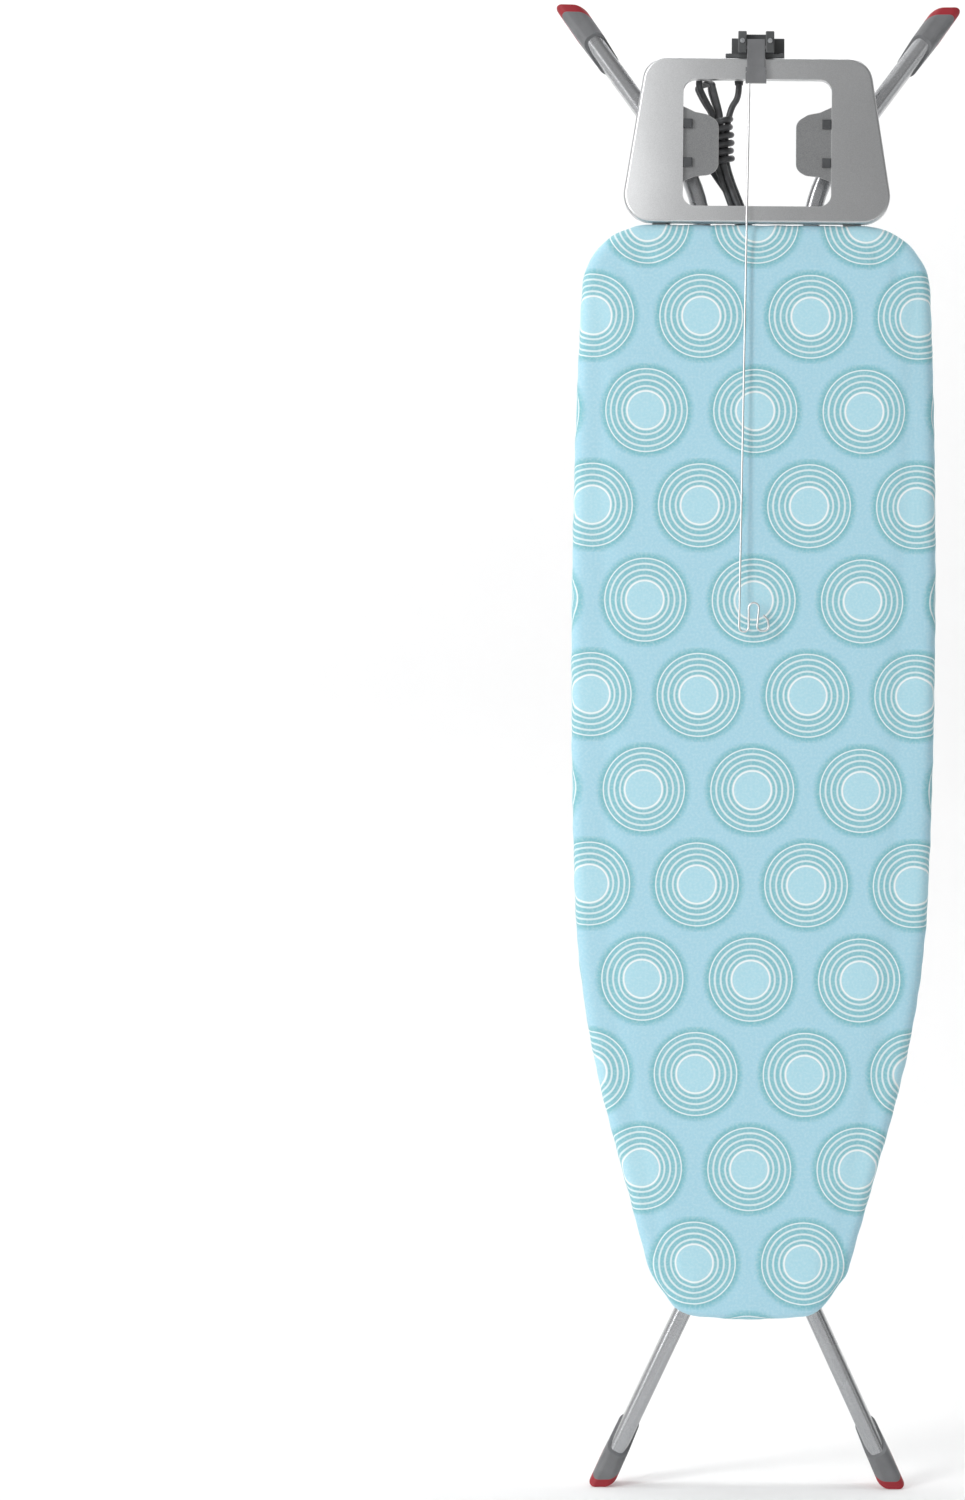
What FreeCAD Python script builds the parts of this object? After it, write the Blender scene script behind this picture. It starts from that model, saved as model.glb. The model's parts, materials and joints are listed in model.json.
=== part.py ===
import FreeCAD, Part

# Folding ironing board, folded and hung upright with its nose down.
#
# Frame, in millimetres: +Z up, X to the right and -Y towards the viewer, who
# looks at the ironing surface. The origin is the point where a wall hook
# carries the folded board: on the middle line, under the top bar of the iron
# rest, level with the front face of the steel deck.

import math
import os
import re

import Sketcher
from FreeCAD import Placement, Rotation, Vector

doc = FreeCAD.newDocument("IroningBoard")

# ---------------------------------------------------------------- sizes
# Every driving size is one cell of the sheet. Names ending in _x, _y and _z
# are places along that axis.

SIZES = {
    # board outline
    "board_length": 1205.5,
    "board_half_width": 199.9,
    "end_corner_radius": 75.5,
    "side_bow": 6.7,
    "side_bow_from_end": 399,
    "side_bow_radius": 7950,
    "taper_length": 346.6,
    "taper_half_width": 190.2,
    "taper_radius": 1090,
    "nose_half_width": 108.5,
    "nose_shoulder": 51.6,
    "nose_corner_radius": 34.5,
    "nose_flat_half_width": 75.5,
    "nose_crown": 6,
    "nose_crown_radius": 400,
    "end_pull_in": 11.3,
    # board layers
    "cover_thickness": 1.5,
    "cover_hem_width": 25,
    "pad_thickness": 8,
    "layer_gap": 0.3,
    "deck_thickness": 1,
    "deck_hole_radius": 8.5,
    "deck_hole_pitch": 30,
    "deck_margin": 22,
    "rim_depth": 18,
    "rim_wall": 1,
    "rim_lip": 24,
    # iron rest
    "rest_gap": 1.5,
    "rest_depth": 18,
    "rest_face_y": -12,
    "rest_wall": 1.5,
    "rest_edge_round": 3,
    "rest_top_bar": 23.9,
    "rest_bottom_bar": 17.9,
    "rest_opening_height": 139.2,
    "rest_opening_half_width": 81.5,
    "rest_opening_radius": 13.4,
    "rest_collar_depth": 13,
    "rest_top_half_width": 122.5,
    "rest_bottom_half_width": 151.5,
    "rest_top_radius": 27,
    "rest_bottom_radius": 30,
    "wing_width": 39,
    "wing_top_z": -29.5,
    "wing_height": 82.5,
    "wing_wall": 1.5,
    "wing_recess": 5,
    "wing_shoulder": 16.5,
    "wing_corner_radius": 12,
    "rest_pad_size": 10,
    "rest_pad_thickness": 4.5,
    "rest_pad_inset": 19,
    "arm_width": 20,
    "arm_thickness": 4,
    "arm_x": 105,
    "arm_y": 6,
    "arm_top_z": 10,
    "arm_inside_board": 125,
    "stud_radius": 2.5,
    "spacer_radius": 6,
    "stud_top_z": -20,
    "stud_pitch": 100,
    "small_nut_radius": 4.6,
    "small_nut_height": 4,
    # legs
    "hinge_below_end": 224,
    "leg_arm": 350,
    "leg_reach": 797,
    "hinge_y": 18,
    "tube_y": 44,
    "tube_width": 19,
    "tube_depth": 36,
    "tube_corner": 7,
    "tube_wall": 1,
    "tube_end": 18,
    "inner_run_x": 38,
    "inner_sole_x": 152.1,
    "inner_splay": 25,
    "outer_run_x": 60,
    "outer_sole_x": 194.3,
    "outer_splay": 36.5,
    "leg_bend_radius": 150,
    "brace_radius": 8,
    "brace_wall": 1.2,
    "outer_brace_above_hinge": 52.5,
    "inner_brace_below_slide": 57.5,
    "lug_thickness": 3,
    "lug_radius": 13,
    "cap_length": 36,
    "cap_wall": 1.9,
    "cap_flare": 1.6,
    "sole_thickness": 5.5,
    "cap_floor": 3,
    "sole_tilt": 45,
    "plug_depth": 14,
    # pins and running fits
    "pin_radius": 4,
    "running_gap": 0.05,
    "side_gap": 0.4,
    "pin_head_radius": 6.5,
    "pin_head_height": 2.5,
    "washer_radius": 9,
    "cap_nut_radius": 7.5,
    "cap_nut_height": 10,
    # hinge bracket and cross members
    "ear_x": 24.5,
    "ear_thickness": 2.5,
    "ear_radius": 11,
    "bracket_half_width": 46,
    "bracket_length": 52,
    "sheet_wall": 1.5,
    "member_depth": 12.5,
    "member_width": 26,
    "lower_member_below_slide": 50,
    "upper_member_below_hinge": 46,
    # height guide
    "guide_half_width": 23.5,
    "guide_depth": 32,
    "guide_margin": 29,
    "guide_end_margin": 17,
    "slide_travel": 270.3,
    "slide_radius": 5,
    "slot_gap": 0.4,
    "notch_rise": 4,
    "notch_count": 7,
    "roller_radius": 7,
    "roller_width": 5,
    # height lever
    "lever_x": 14,
    "lever_y": 28.4,
    "lever_radius": 3,
    "lever_above_guide": 15,
    "lever_run_y": 20,
    "grip_side_gap": 39.9,
    "grip_length": 54,
    "grip_width": 26,
    "grip_thickness": 9,
    "keeper_thickness": 1.5,
    "keeper_reach": 25,
    "spring_wire": 1,
    "spring_turns": 4,
    # socket group
    "socket_half_width": 29,
    "socket_bottom_z": 20,
    "socket_height": 27.7,
    "socket_front_y": 10,
    "socket_depth": 50,
    "socket_wall": 2.5,
    "socket_recess_radius": 19.5,
    "socket_recess_depth": 17.5,
    "socket_pin_radius": 2.6,
    "socket_pin_spacing": 19,
    "contact_wall": 0.6,
    "contact_length": 3.6,
    "saddle_left_x": -35.5,
    "saddle_thickness": 4,
    "screw_radius": 1.5,
    "screw_head_radius": 2.6,
    "screw_head_height": 1.6,
    # cable guide
    "guide_arm_x": -2,
    "guide_arm_width": 20,
    "guide_arm_thickness": 6.5,
    "guide_arm_top_z": 42.7,
    "guide_arm_bottom_z": -5,
    "guide_pivot_y": -16.5,
    "guide_pivot_z": 34,
    "guide_pin_radius": 2,
    "guide_ear_width": 9.4,
    "guide_ear_top_z": 51.5,
    "guide_ear_front_y": -21,
    "wire_radius": 1.2,
    "wire_hook_z": -606.7,
    # mains lead
    "cord_radius": 3.5,
    "gland_length": 20,
    "gland_inset": 8.2,
    "gland_y": 30,
    "plug_flange_radius": 18.5,
    "plug_pin_radius": 2.4,
    "plug_pin_length": 19,
    "plug_pin_spacing": 19,
}

sheet = doc.addObject("Spreadsheet::Sheet", "Sizes")
for row, (name, number) in enumerate(SIZES.items(), start=1):
    sheet.set(f"A{row}", name)
    sheet.set(f"B{row}", str(number))
    sheet.setAlias(f"B{row}", name)
doc.recompute()


def size(name):
    """One driving size, read from the sheet."""
    return float(sheet.get(name))


def bind(thing, prop, formula):
    """Ties a property to the sheet. The formula uses the sheet's own names."""

    def cell(word):
        return "Sizes." + word.group() if word.group() in SIZES else word.group()

    thing.setExpression(prop, re.sub(r"[a-z]\w*", cell, str(formula)))


# ------------------------------------------------------- building blocks

sub_parts = []


def sub_part(thing, label):
    """Marks an object of the document as a finished sub-part."""
    thing.Label = label
    sub_parts.append(thing)
    return thing


def block(name, x, y, z):
    """A box from three pairs of formulas, each the low and the high side."""
    box = doc.addObject("Part::Box", name)
    for side, axis, (low, high) in zip(("Length", "Width", "Height"), "xyz", (x, y, z)):
        bind(box, side, f"({high}) - ({low})")
        bind(box, f"Placement.Base.{axis}", low)
    return box


TURN_TO = {
    "x": Rotation(Vector(0, 1, 0), 90),
    "y": Rotation(Vector(1, 0, 0), -90),
    "z": Rotation(),
}


def rod(name, axis, radius, span, at):
    """A round bar along one axis: its two ends, then its two other places."""
    bar = doc.addObject("Part::Cylinder", name)
    bar.Placement = Placement(Vector(), TURN_TO[axis])
    bind(bar, "Radius", radius)
    bind(bar, "Height", f"({span[1]}) - ({span[0]})")
    places = [f"{place}" for place in at]
    places.insert("xyz".index(axis), span[0])
    for letter, place in zip("xyz", places):
        bind(bar, f"Placement.Base.{letter}", place)
    return bar


def fuse(name, pieces):
    """Pieces that are one welded or moulded thing."""
    whole = doc.addObject("Part::MultiFuse", name)
    whole.Shapes = pieces
    whole.Refine = True
    return whole


def group(name, pieces):
    """Like pieces that share one node and stay separate solids."""
    together = doc.addObject("Part::Compound", name)
    together.Links = pieces
    return together


def cut(name, base, *tools):
    """The base with the tools taken away."""
    left = doc.addObject("Part::Cut", name)
    left.Base = base
    left.Tool = tools[0] if len(tools) == 1 else fuse(name + "_tools", list(tools))
    return left


def common(name, first, second):
    """What two solids share."""
    shared = doc.addObject("Part::Common", name)
    shared.Base = first
    shared.Tool = second
    return shared


def mirrored(name, source):
    """The same piece on the other side of the middle plane."""
    twin = doc.addObject("Part::Mirroring", name)
    twin.Source = source
    twin.Normal = Vector(1, 0, 0)
    return twin


def rounded(points, radii, closed=True):
    """A wire through straight runs, each corner turned by a tangent arc."""
    count = len(points)
    corners = []
    for i, (point, radius) in enumerate(zip(points, radii)):
        if radius == 0 or (not closed and i in (0, count - 1)):
            corners.append((point, None, point))
            continue
        back = (points[i - 1] - point).normalize()
        ahead = (points[(i + 1) % count] - point).normalize()
        half = back.getAngle(ahead) / 2
        start = point + back * (radius / math.tan(half))
        end = point + ahead * (radius / math.tan(half))
        inward = (back + ahead).normalize()
        middle = point + inward * (radius / math.sin(half) - radius)
        corners.append((start, middle, end))
    edges = []
    for i, (start, middle, end) in enumerate(corners):
        if middle is not None:
            edges.append(Part.Arc(start, middle, end).toShape())
        following = corners[(i + 1) % count][0]
        last = i == count - 1
        if (closed or not last) and end.distanceToPoint(following) > 0.001:
            edges.append(Part.LineSegment(end, following).toShape())
    return Part.Wire(edges)


def drawn(name, shape):
    """A line drawing that an extrusion, sweep or loft is made from."""
    line = doc.addObject("Part::Feature", name)
    line.Shape = shape
    return line


def slab(name, outline, low, high, along=Vector(0, 1, 0)):
    """A closed outline drawn at zero, made solid from low to high."""
    solid = doc.addObject("Part::Extrusion", name)
    solid.Base = outline
    solid.DirMode = "Custom"
    solid.Dir = along
    solid.Solid = True
    bind(solid, "LengthFwd", high)
    bind(solid, "LengthRev", f"-({low})")
    return solid


def offset(name, outline, distance):
    """The outline moved in or out by one distance."""
    moved = doc.addObject("Part::Offset2D", name)
    moved.Source = outline
    bind(moved, "Value", distance)
    return moved


def sweep(name, section, path):
    """A section carried along a path, as a bent tube or wire."""
    bent = doc.addObject("Part::Sweep", name)
    bent.Sections = [section]
    bent.Spine = (path, [f"Edge{i + 1}" for i in range(len(path.Shape.Edges))])
    bent.Solid = True
    return bent


def round_section(name, radius, start, towards):
    """A circle at the start of a path, square to it."""
    ring = Part.Circle(start, (towards - start).normalize(), radius)
    return drawn(name, Part.Wire([ring.toShape()]))


def wire_along(name, radius, points, radii):
    """A round wire or cord bent along a route."""
    path = drawn(name + "_route", rounded(points, radii, closed=False))
    ring = round_section(name + "_section", radius, points[0], points[1])
    return sweep(name, ring, path)


def fillet(name, base, radius, wanted):
    """Rounds the edges that the test picks out."""
    doc.recompute()
    edges = [i + 1 for i, edge in enumerate(base.Shape.Edges) if wanted(edge)]
    soft = doc.addObject("Part::Fillet", name)
    soft.Base = base
    soft.Edges = [(i, radius, radius) for i in edges]
    return soft


# ------------------------------------------------------- key places

board_end_z = "(-rest_opening_height - rest_bottom_bar - rest_gap)"
hinge_z = f"({board_end_z} - hinge_below_end)"
pivot_z = f"({hinge_z} - leg_arm)"
slide_z = f"({pivot_z} - leg_arm)"

END_Z = -size("rest_opening_height") - size("rest_bottom_bar") - size("rest_gap")
HINGE_Z = END_Z - size("hinge_below_end")
PIVOT_Z = HINGE_Z - size("leg_arm")
SLIDE_Z = PIVOT_Z - size("leg_arm")

# ------------------------------------------------------- board

half_width = size("board_half_width")
nose_z = END_Z - size("board_length")

# Half of the outline, from the middle of the square end to the nose tip.
half_outline = [
    (Vector(half_width - size("end_pull_in"), 0, END_Z), size("end_corner_radius")),
    (
        Vector(half_width + size("side_bow"), 0, END_Z - size("side_bow_from_end")),
        size("side_bow_radius"),
    ),
    (
        Vector(size("taper_half_width"), 0, nose_z + size("taper_length")),
        size("taper_radius"),
    ),
    (
        Vector(size("nose_half_width"), 0, nose_z + size("nose_shoulder")),
        size("nose_corner_radius"),
    ),
    (
        Vector(size("nose_flat_half_width"), 0, nose_z + size("nose_crown")),
        size("nose_corner_radius"),
    ),
]
outline_points = [point for point, radius in half_outline]
outline_radii = [radius for point, radius in half_outline]
outline_points.append(Vector(0, 0, nose_z))
outline_radii.append(size("nose_crown_radius"))
for point, radius in reversed(half_outline):
    outline_points.append(Vector(-point.x, 0, point.z))
    outline_radii.append(radius)



def board_line(name, inset):
    """The board's outline, drawn a distance inside its edge."""
    points = []
    count = len(outline_points)
    for i, point in enumerate(outline_points):
        back = (outline_points[i - 1] - point).normalize()
        ahead = (outline_points[(i + 1) % count] - point).normalize()
        inward = (back + ahead).normalize()
        points.append(point + inward * (inset / math.sin(back.getAngle(ahead) / 2)))
    return drawn(name, rounded(points, [radius - inset for radius in outline_radii]))


cover_inside = size("cover_thickness")
deck_inset = size("cover_thickness") + size("layer_gap")
board_outline = board_line("board_outline", 0.0)
deck_outline = board_line("deck_outline", deck_inset)

# The rest arms pass the rim and the cover through one pair of slots.
arm_low_x = "(arm_x - arm_width/2)"
arm_high_x = "(arm_x + arm_width/2)"
slots = [
    block(
        f"arm_slot_{side}",
        x=(f"{sign}*arm_x - arm_width/2 - layer_gap", f"{sign}*arm_x + arm_width/2 + layer_gap"),
        y=("arm_y - layer_gap", "arm_y + arm_thickness + layer_gap"),
        z=(f"{board_end_z} - end_corner_radius", f"{board_end_z} + 1"),
    )
    for side, sign in (("left", "-1"), ("right", "1"))
]
arm_slots = group("arm_slots", slots)

# Foam pad under the cover.
foam_pad = sub_part(slab("foam_pad", deck_outline, "-pad_thickness", "0"), "foam_pad")

# Cover: a front sheet, a side wall round pad and rim, and a hem turned in
# behind the rim.
cover_back = "(deck_thickness + rim_depth + cover_thickness)"
cover_block = slab("cover_block", board_outline, "-pad_thickness - cover_thickness", cover_back)
cover_room_outline = board_line("cover_room_outline", cover_inside)
cover_room = slab(
    "cover_room", cover_room_outline, "-pad_thickness", "deck_thickness + rim_depth"
)
cover_mouth_outline = board_line("cover_mouth_outline", size("cover_hem_width"))
cover_mouth = slab("cover_mouth", cover_mouth_outline, "0", f"{cover_back} + 1")
sub_part(cut("cover_shell", cover_block, cover_room, cover_mouth, arm_slots), "cover")

# Steel rim: a channel bent round the deck, with a lip turned in at the back.
rim_back = "(deck_thickness + rim_depth)"
rim_block = slab("rim_block", deck_outline, "deck_thickness", rim_back)
rim_room_outline = board_line("rim_room_outline", deck_inset + size("rim_wall"))
rim_room = slab("rim_room", rim_room_outline, "0", f"{rim_back} - rim_wall")
rim_mouth_outline = board_line("rim_mouth_outline", deck_inset + size("rim_lip"))
rim_mouth = slab("rim_mouth", rim_mouth_outline, "0", f"{rim_back} + 1")
deck_rim = sub_part(cut("rim_channel", rim_block, rim_room, rim_mouth, arm_slots), "deck_rim")

# Perforated steel deck. Its rows of round holes are staggered by half a pitch
# and stop short of the edge, where the rim is welded.


def perforated_sheet():
    """The deck's sheet, with every hole that fits inside its margin."""
    edge = deck_outline.Shape.Wires[0]
    margin_line = board_line("deck_margin_line", deck_inset + size("deck_margin"))
    margin = Part.Face(margin_line.Shape.Wires[0])
    pitch = size("deck_hole_pitch")
    row_step = pitch * math.sqrt(3) / 2
    rows = int(size("board_length") / row_step)
    columns = int(2 * size("board_half_width") / pitch) + 1
    holes = []
    for row in range(1, rows + 1):
        shift = pitch / 2 if row % 2 else 0
        for column in range(-columns // 2, columns // 2 + 1):
            centre = Vector(column * pitch + shift, 0, END_Z - row * row_step)
            if margin.isInside(centre, 0.01, True):
                circle = Part.Circle(centre, Vector(0, 1, 0), size("deck_hole_radius"))
                holes.append(Part.Wire([circle.toShape()]))
    face = Part.makeFace([edge] + holes, "Part::FaceMakerBullseye")
    return face.extrude(Vector(0, size("deck_thickness"), 0))


doc.recompute()
mesh_deck = sub_part(drawn("mesh_deck", perforated_sheet()), "mesh_deck")

# Cross members under the deck, cut to the inside of the rim: a thin one that
# carries the rest arms and two channels, one at the hinge and one past the
# end of the height guide.
member_room = slab("member_room", rim_room_outline, "0", rim_back)
arm_end_z = f"({board_end_z} - arm_inside_board)"
thin_member = block(
    "thin_member",
    x=("-board_half_width", "board_half_width"),
    y=("deck_thickness", "arm_y"),
    z=(f"{arm_end_z} - 2", f"{arm_end_z} + member_width - 2"),
)


def channel_member(name, centre_z):
    """A channel with its open side against the deck."""
    whole = block(
        name + "_block",
        x=("-board_half_width", "board_half_width"),
        y=("deck_thickness", "deck_thickness + member_depth"),
        z=(f"{centre_z} - member_width/2", f"{centre_z} + member_width/2"),
    )
    hollow = block(
        name + "_hollow",
        x=("-board_half_width - 1", "board_half_width + 1"),
        y=("deck_thickness - 1", "deck_thickness + member_depth - sheet_wall"),
        z=(
            f"{centre_z} - member_width/2 + sheet_wall",
            f"{centre_z} + member_width/2 - sheet_wall",
        ),
    )
    return cut(name, whole, hollow)


hinge_member = channel_member("hinge_member", f"({hinge_z} - upper_member_below_hinge)")
nose_member = channel_member("nose_member", f"({slide_z} - lower_member_below_slide)")
members = group("member_bars", [thin_member, hinge_member, nose_member])
sub_part(common("cross_members", members, member_room), "cross_members")

# ------------------------------------------------------- fixed hinge

# The bracket has a plate against the deck and two ears that hold the pin.
ear_low = "(ear_x - ear_thickness/2)"
ear_high = "(ear_x + ear_thickness/2)"
bracket_plate = block(
    "bracket_plate",
    x=("-bracket_half_width", "bracket_half_width"),
    y=("deck_thickness", "deck_thickness + sheet_wall"),
    z=(f"{hinge_z} - bracket_length/2", f"{hinge_z} + bracket_length/2"),
)
ears = []
for side, low, high in (("left", f"-{ear_high}", f"-{ear_low}"), ("right", ear_low, ear_high)):
    web = block(
        f"ear_web_{side}",
        x=(low, high),
        y=("deck_thickness", "hinge_y"),
        z=(f"{hinge_z} - ear_radius", f"{hinge_z} + ear_radius"),
    )
    eye = rod(f"ear_eye_{side}", "x", "ear_radius", (low, high), ("hinge_y", hinge_z))
    ears += [web, eye]
bracket_solid = fuse("bracket_solid", [bracket_plate] + ears)
hinge_hole = rod(
    "hinge_hole",
    "x",
    "pin_radius + running_gap",
    ("-bracket_half_width", "bracket_half_width"),
    ("hinge_y", hinge_z),
)
sub_part(cut("bracket_drilled", bracket_solid, hinge_hole), "hinge_bracket")

# Inner lugs hang on the pin outside the ears, with a nylon washer between.
inner_lug_low = "(inner_run_x - tube_width/2 + 1.5)"
inner_lug_high = f"({inner_lug_low} + lug_thickness)"
pin_end = f"({inner_lug_high} + side_gap)"
hinge_shank = rod(
    "hinge_shank", "x", "pin_radius", (f"-{pin_end}", pin_end), ("hinge_y", hinge_z)
)
hinge_heads = [
    rod(
        f"hinge_head_{side}",
        "x",
        "pin_head_radius",
        span,
        ("hinge_y", hinge_z),
    )
    for side, span in (
        ("left", (f"-{pin_end} - pin_head_height", f"-{pin_end}")),
        ("right", (pin_end, f"{pin_end} + pin_head_height")),
    )
]
sub_part(fuse("hinge_pin_solid", [hinge_shank] + hinge_heads), "hinge_pin")


def ring(name, radius, bore, span, at):
    """A round washer or bush along X."""
    disc = rod(name + "_disc", "x", radius, span, at)
    wide = (f"({span[0]}) - 1", f"({span[1]}) + 1")
    return cut(name, disc, rod(name + "_bore", "x", bore, wide, at))


hinge_washers = [
    ring(f"hinge_washer_{side}", "washer_radius", "pin_radius + running_gap", span, at)
    for side, span, at in (
        (
            "left",
            (f"-{inner_lug_low} + side_gap", f"-{ear_high}"),
            ("hinge_y", hinge_z),
        ),
        (
            "right",
            (ear_high, f"{inner_lug_low} - side_gap"),
            ("hinge_y", hinge_z),
        ),
    )
]
sub_part(group("hinge_washer_pair", hinge_washers), "hinge_washers")

# ------------------------------------------------------- height guide

# A channel with its open side to the back. The slide rod runs along a slot in
# each wall, and notches on the deck side of the slot hold it at each height.
guide_low_z = f"({slide_z} - guide_margin)"
slide_top_z = f"({slide_z} + slide_travel)"
guide_high_z = f"({slide_top_z} + guide_end_margin)"
guide_back = "(deck_thickness + guide_depth)"
guide_block = block(
    "guide_block",
    x=("-guide_half_width", "guide_half_width"),
    y=("deck_thickness", guide_back),
    z=(guide_low_z, guide_high_z),
)
guide_room = block(
    "guide_room",
    x=("-guide_half_width + sheet_wall", "guide_half_width - sheet_wall"),
    y=("deck_thickness + sheet_wall", f"{guide_back} + 1"),
    z=(f"{guide_low_z} + sheet_wall", f"{guide_high_z} - sheet_wall"),
)
slot_radius = "(slide_radius + slot_gap)"
across_guide = ("-guide_half_width - 1", "guide_half_width + 1")
slot_run = block(
    "slot_run",
    x=across_guide,
    y=(f"hinge_y - {slot_radius}", f"hinge_y + {slot_radius}"),
    z=(slide_z, slide_top_z),
)
slot_ends = [
    rod(f"slot_end_{i}", "x", slot_radius, across_guide, ("hinge_y", place))
    for i, place in enumerate((slide_z, slide_top_z))
]
notches = [
    rod(
        f"notch_{i}",
        "x",
        slot_radius,
        across_guide,
        ("hinge_y - notch_rise", f"{slide_top_z} - slide_travel*{i}/(1.6*notch_count)"),
    )
    for i in range(int(size("notch_count")))
]
lever_hole = rod(
    "lever_hole",
    "z",
    "lever_radius + running_gap",
    (f"{guide_low_z} - 1", f"{guide_high_z} + 1"),
    ("lever_x", "lever_y"),
)
guide_steel = cut("guide_steel", guide_block, guide_room, slot_run, *slot_ends, *notches, lever_hole)
sub_part(guide_steel, "guide_channel")

# ------------------------------------------------------- leg tubes


def leg_route(run_x, splay, sole_x, sole_z, end_z):
    """A leg's middle line: straight from its plugged end, bent once outwards."""
    tube_y = size("tube_y")
    up = 1 if sole_z > end_z else -1
    slope = math.tan(math.radians(splay))
    bend_z = sole_z - up * (sole_x - run_x) / slope
    return [
        Vector(run_x, tube_y, end_z),
        Vector(run_x, tube_y, bend_z),
        Vector(sole_x, tube_y, sole_z),
    ]


def tube_section(width, depth, corner, centre, normal):
    """A rounded rectangle, square to the tube, wide side along Y."""
    corners = [
        Vector(x * width / 2, y * depth / 2, 0)
        for x, y in ((-1, -1), (1, -1), (1, 1), (-1, 1))
    ]
    loop = rounded(corners, [corner] * 4)
    across = Vector(0, 1, 0).cross(normal).normalize()
    turn = Rotation(across, Vector(0, 1, 0), normal, "ZYX")
    loop.Placement = Placement(centre, turn)
    return loop


def sole_normal(route):
    """The way the sole faces: it is level when the legs are unfolded."""
    up = 1 if route[2].z > route[1].z else -1
    return Rotation(Vector(1, 0, 0), -up * size("sole_tilt")).multVec(Vector(0, 0, up))


def beyond_plane(name, place, normal):
    """All that lies past a plane through a place, on the side it faces."""
    side = 8 * size("cap_length")
    tilt = Rotation(Vector(0, 0, 1), normal)
    past = doc.addObject("Part::Box", name)
    for edge in ("Length", "Width", "Height"):
        setattr(past, edge, side)
    past.Placement = Placement(place + tilt.multVec(Vector(-side / 2, -side / 2, 0)), tilt)
    return past


def leg_tube(name, route):
    """A hollow bent tube and the solid of its outer shape, cut off at the foot
    on a plane parallel to the sole."""
    start, bend, sole = route
    path = drawn(name + "_route", rounded(route, [0, size("leg_bend_radius"), 0], closed=False))
    width = size("tube_width")
    depth = size("tube_depth")
    wall = size("tube_wall")
    run = (bend - start).normalize()
    outer = drawn(
        name + "_outer_line", tube_section(width, depth, size("tube_corner"), start, run)
    )
    inner = drawn(
        name + "_inner_line",
        tube_section(width - 2 * wall, depth - 2 * wall, size("tube_corner") - wall, start, run),
    )
    faces = sole_normal(route)
    mitre_at = sole - faces * (size("sole_thickness") + size("cap_floor"))
    mitre = beyond_plane(name + "_mitre", mitre_at, faces)
    envelope = cut(name + "_envelope", sweep(name + "_prism", outer, path), mitre)
    bore = sweep(name + "_bore", inner, path)
    return envelope, cut(name + "_tube", envelope, bore)


INNER_SOLE_Z = PIVOT_Z - size("leg_reach")
OUTER_SOLE_Z = PIVOT_Z + size("leg_reach")
inner_route = leg_route(
    size("inner_run_x"),
    size("inner_splay"),
    size("inner_sole_x"),
    INNER_SOLE_Z,
    HINGE_Z + size("tube_end"),
)
outer_route = leg_route(
    size("outer_run_x"),
    size("outer_splay"),
    size("outer_sole_x"),
    OUTER_SOLE_Z,
    SLIDE_Z - size("tube_end"),
)
inner_envelope, inner_tube = leg_tube("inner", inner_route)
outer_envelope, outer_tube = leg_tube("outer", outer_route)

pivot_clear = "pin_radius + running_gap"
past_tubes = ("-outer_run_x - tube_width", "outer_run_x + tube_width")
inner_drill = rod("inner_drill", "x", pivot_clear, past_tubes, ("tube_y", pivot_z))
outer_drill = rod("outer_drill", "x", pivot_clear, past_tubes, ("tube_y", pivot_z))
brace_drill = "brace_radius + running_gap"
inner_brace_z = f"({slide_z} - inner_brace_below_slide)"
outer_brace_z = f"({hinge_z} + outer_brace_above_hinge)"
inner_brace_hole = rod(
    "inner_brace_hole", "x", brace_drill, ("0", "inner_run_x"), ("tube_y", inner_brace_z)
)
outer_brace_hole = rod(
    "outer_brace_hole", "x", brace_drill, ("0", "outer_run_x"), ("tube_y", outer_brace_z)
)
inner_leg_right = sub_part(
    cut("inner_right", inner_tube, inner_drill, inner_brace_hole), "inner_leg_right"
)
sub_part(mirrored("inner_left", inner_leg_right), "inner_leg_left")
outer_leg_right = sub_part(
    cut("outer_right", outer_tube, outer_drill, outer_brace_hole), "outer_leg_right"
)
sub_part(mirrored("outer_left", outer_leg_right), "outer_leg_left")


def brace(name, run_x, place_z):
    """A round tube welded between the two legs of a pair."""
    span = (f"-{run_x} + tube_wall", f"{run_x} - tube_wall")
    outside = (f"-{run_x} + tube_width/2 - tube_wall", f"{run_x} - tube_width/2 + tube_wall")
    bar = rod(name + "_bar", "x", "brace_radius", outside, ("tube_y", place_z))
    bore = rod(name + "_bore", "x", "brace_radius - brace_wall", span, ("tube_y", place_z))
    return cut(name + "_tube", bar, bore)


sub_part(brace("inner_brace", "inner_run_x", inner_brace_z), "inner_brace")
sub_part(brace("outer_brace", "outer_run_x", outer_brace_z), "outer_brace")

# Lugs, cut to sit on the rounded face of the tube that they are welded to.


def lug_pair(name, low, high, place_z, envelope):
    """Two lugs with a bore each for the hinge pin or the slide rod."""
    at = ("hinge_y", place_z)
    web = block(
        name + "_web",
        x=(low, high),
        y=("hinge_y", "tube_y - tube_depth/2 + tube_corner"),
        z=(f"{place_z} - lug_radius", f"{place_z} + lug_radius"),
    )
    eye = rod(name + "_eye", "x", "lug_radius", (low, high), at)
    solid = fuse(name + "_solid", [web, eye])
    bore_radius = "slide_radius + running_gap" if name == "outer_lug" else pivot_clear
    bore = rod(name + "_bore", "x", bore_radius, (f"{low} - 1", f"{high} + 1"), at)
    right = cut(name + "_right", solid, bore, envelope)
    return group(name + "s_both", [right, mirrored(name + "_left", right)])


outer_lug_low = "(outer_run_x - lug_thickness - 2)"
outer_lug_high = "(outer_run_x - 2)"
inner_lugs = lug_pair("inner_lug", inner_lug_low, inner_lug_high, hinge_z, inner_envelope)
outer_lugs = lug_pair("outer_lug", outer_lug_low, outer_lug_high, slide_z, outer_envelope)
sub_part(inner_lugs, "inner_lugs")
sub_part(outer_lugs, "outer_lugs")

# Moulded plugs that close the square-cut ends of the tubes.


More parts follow.
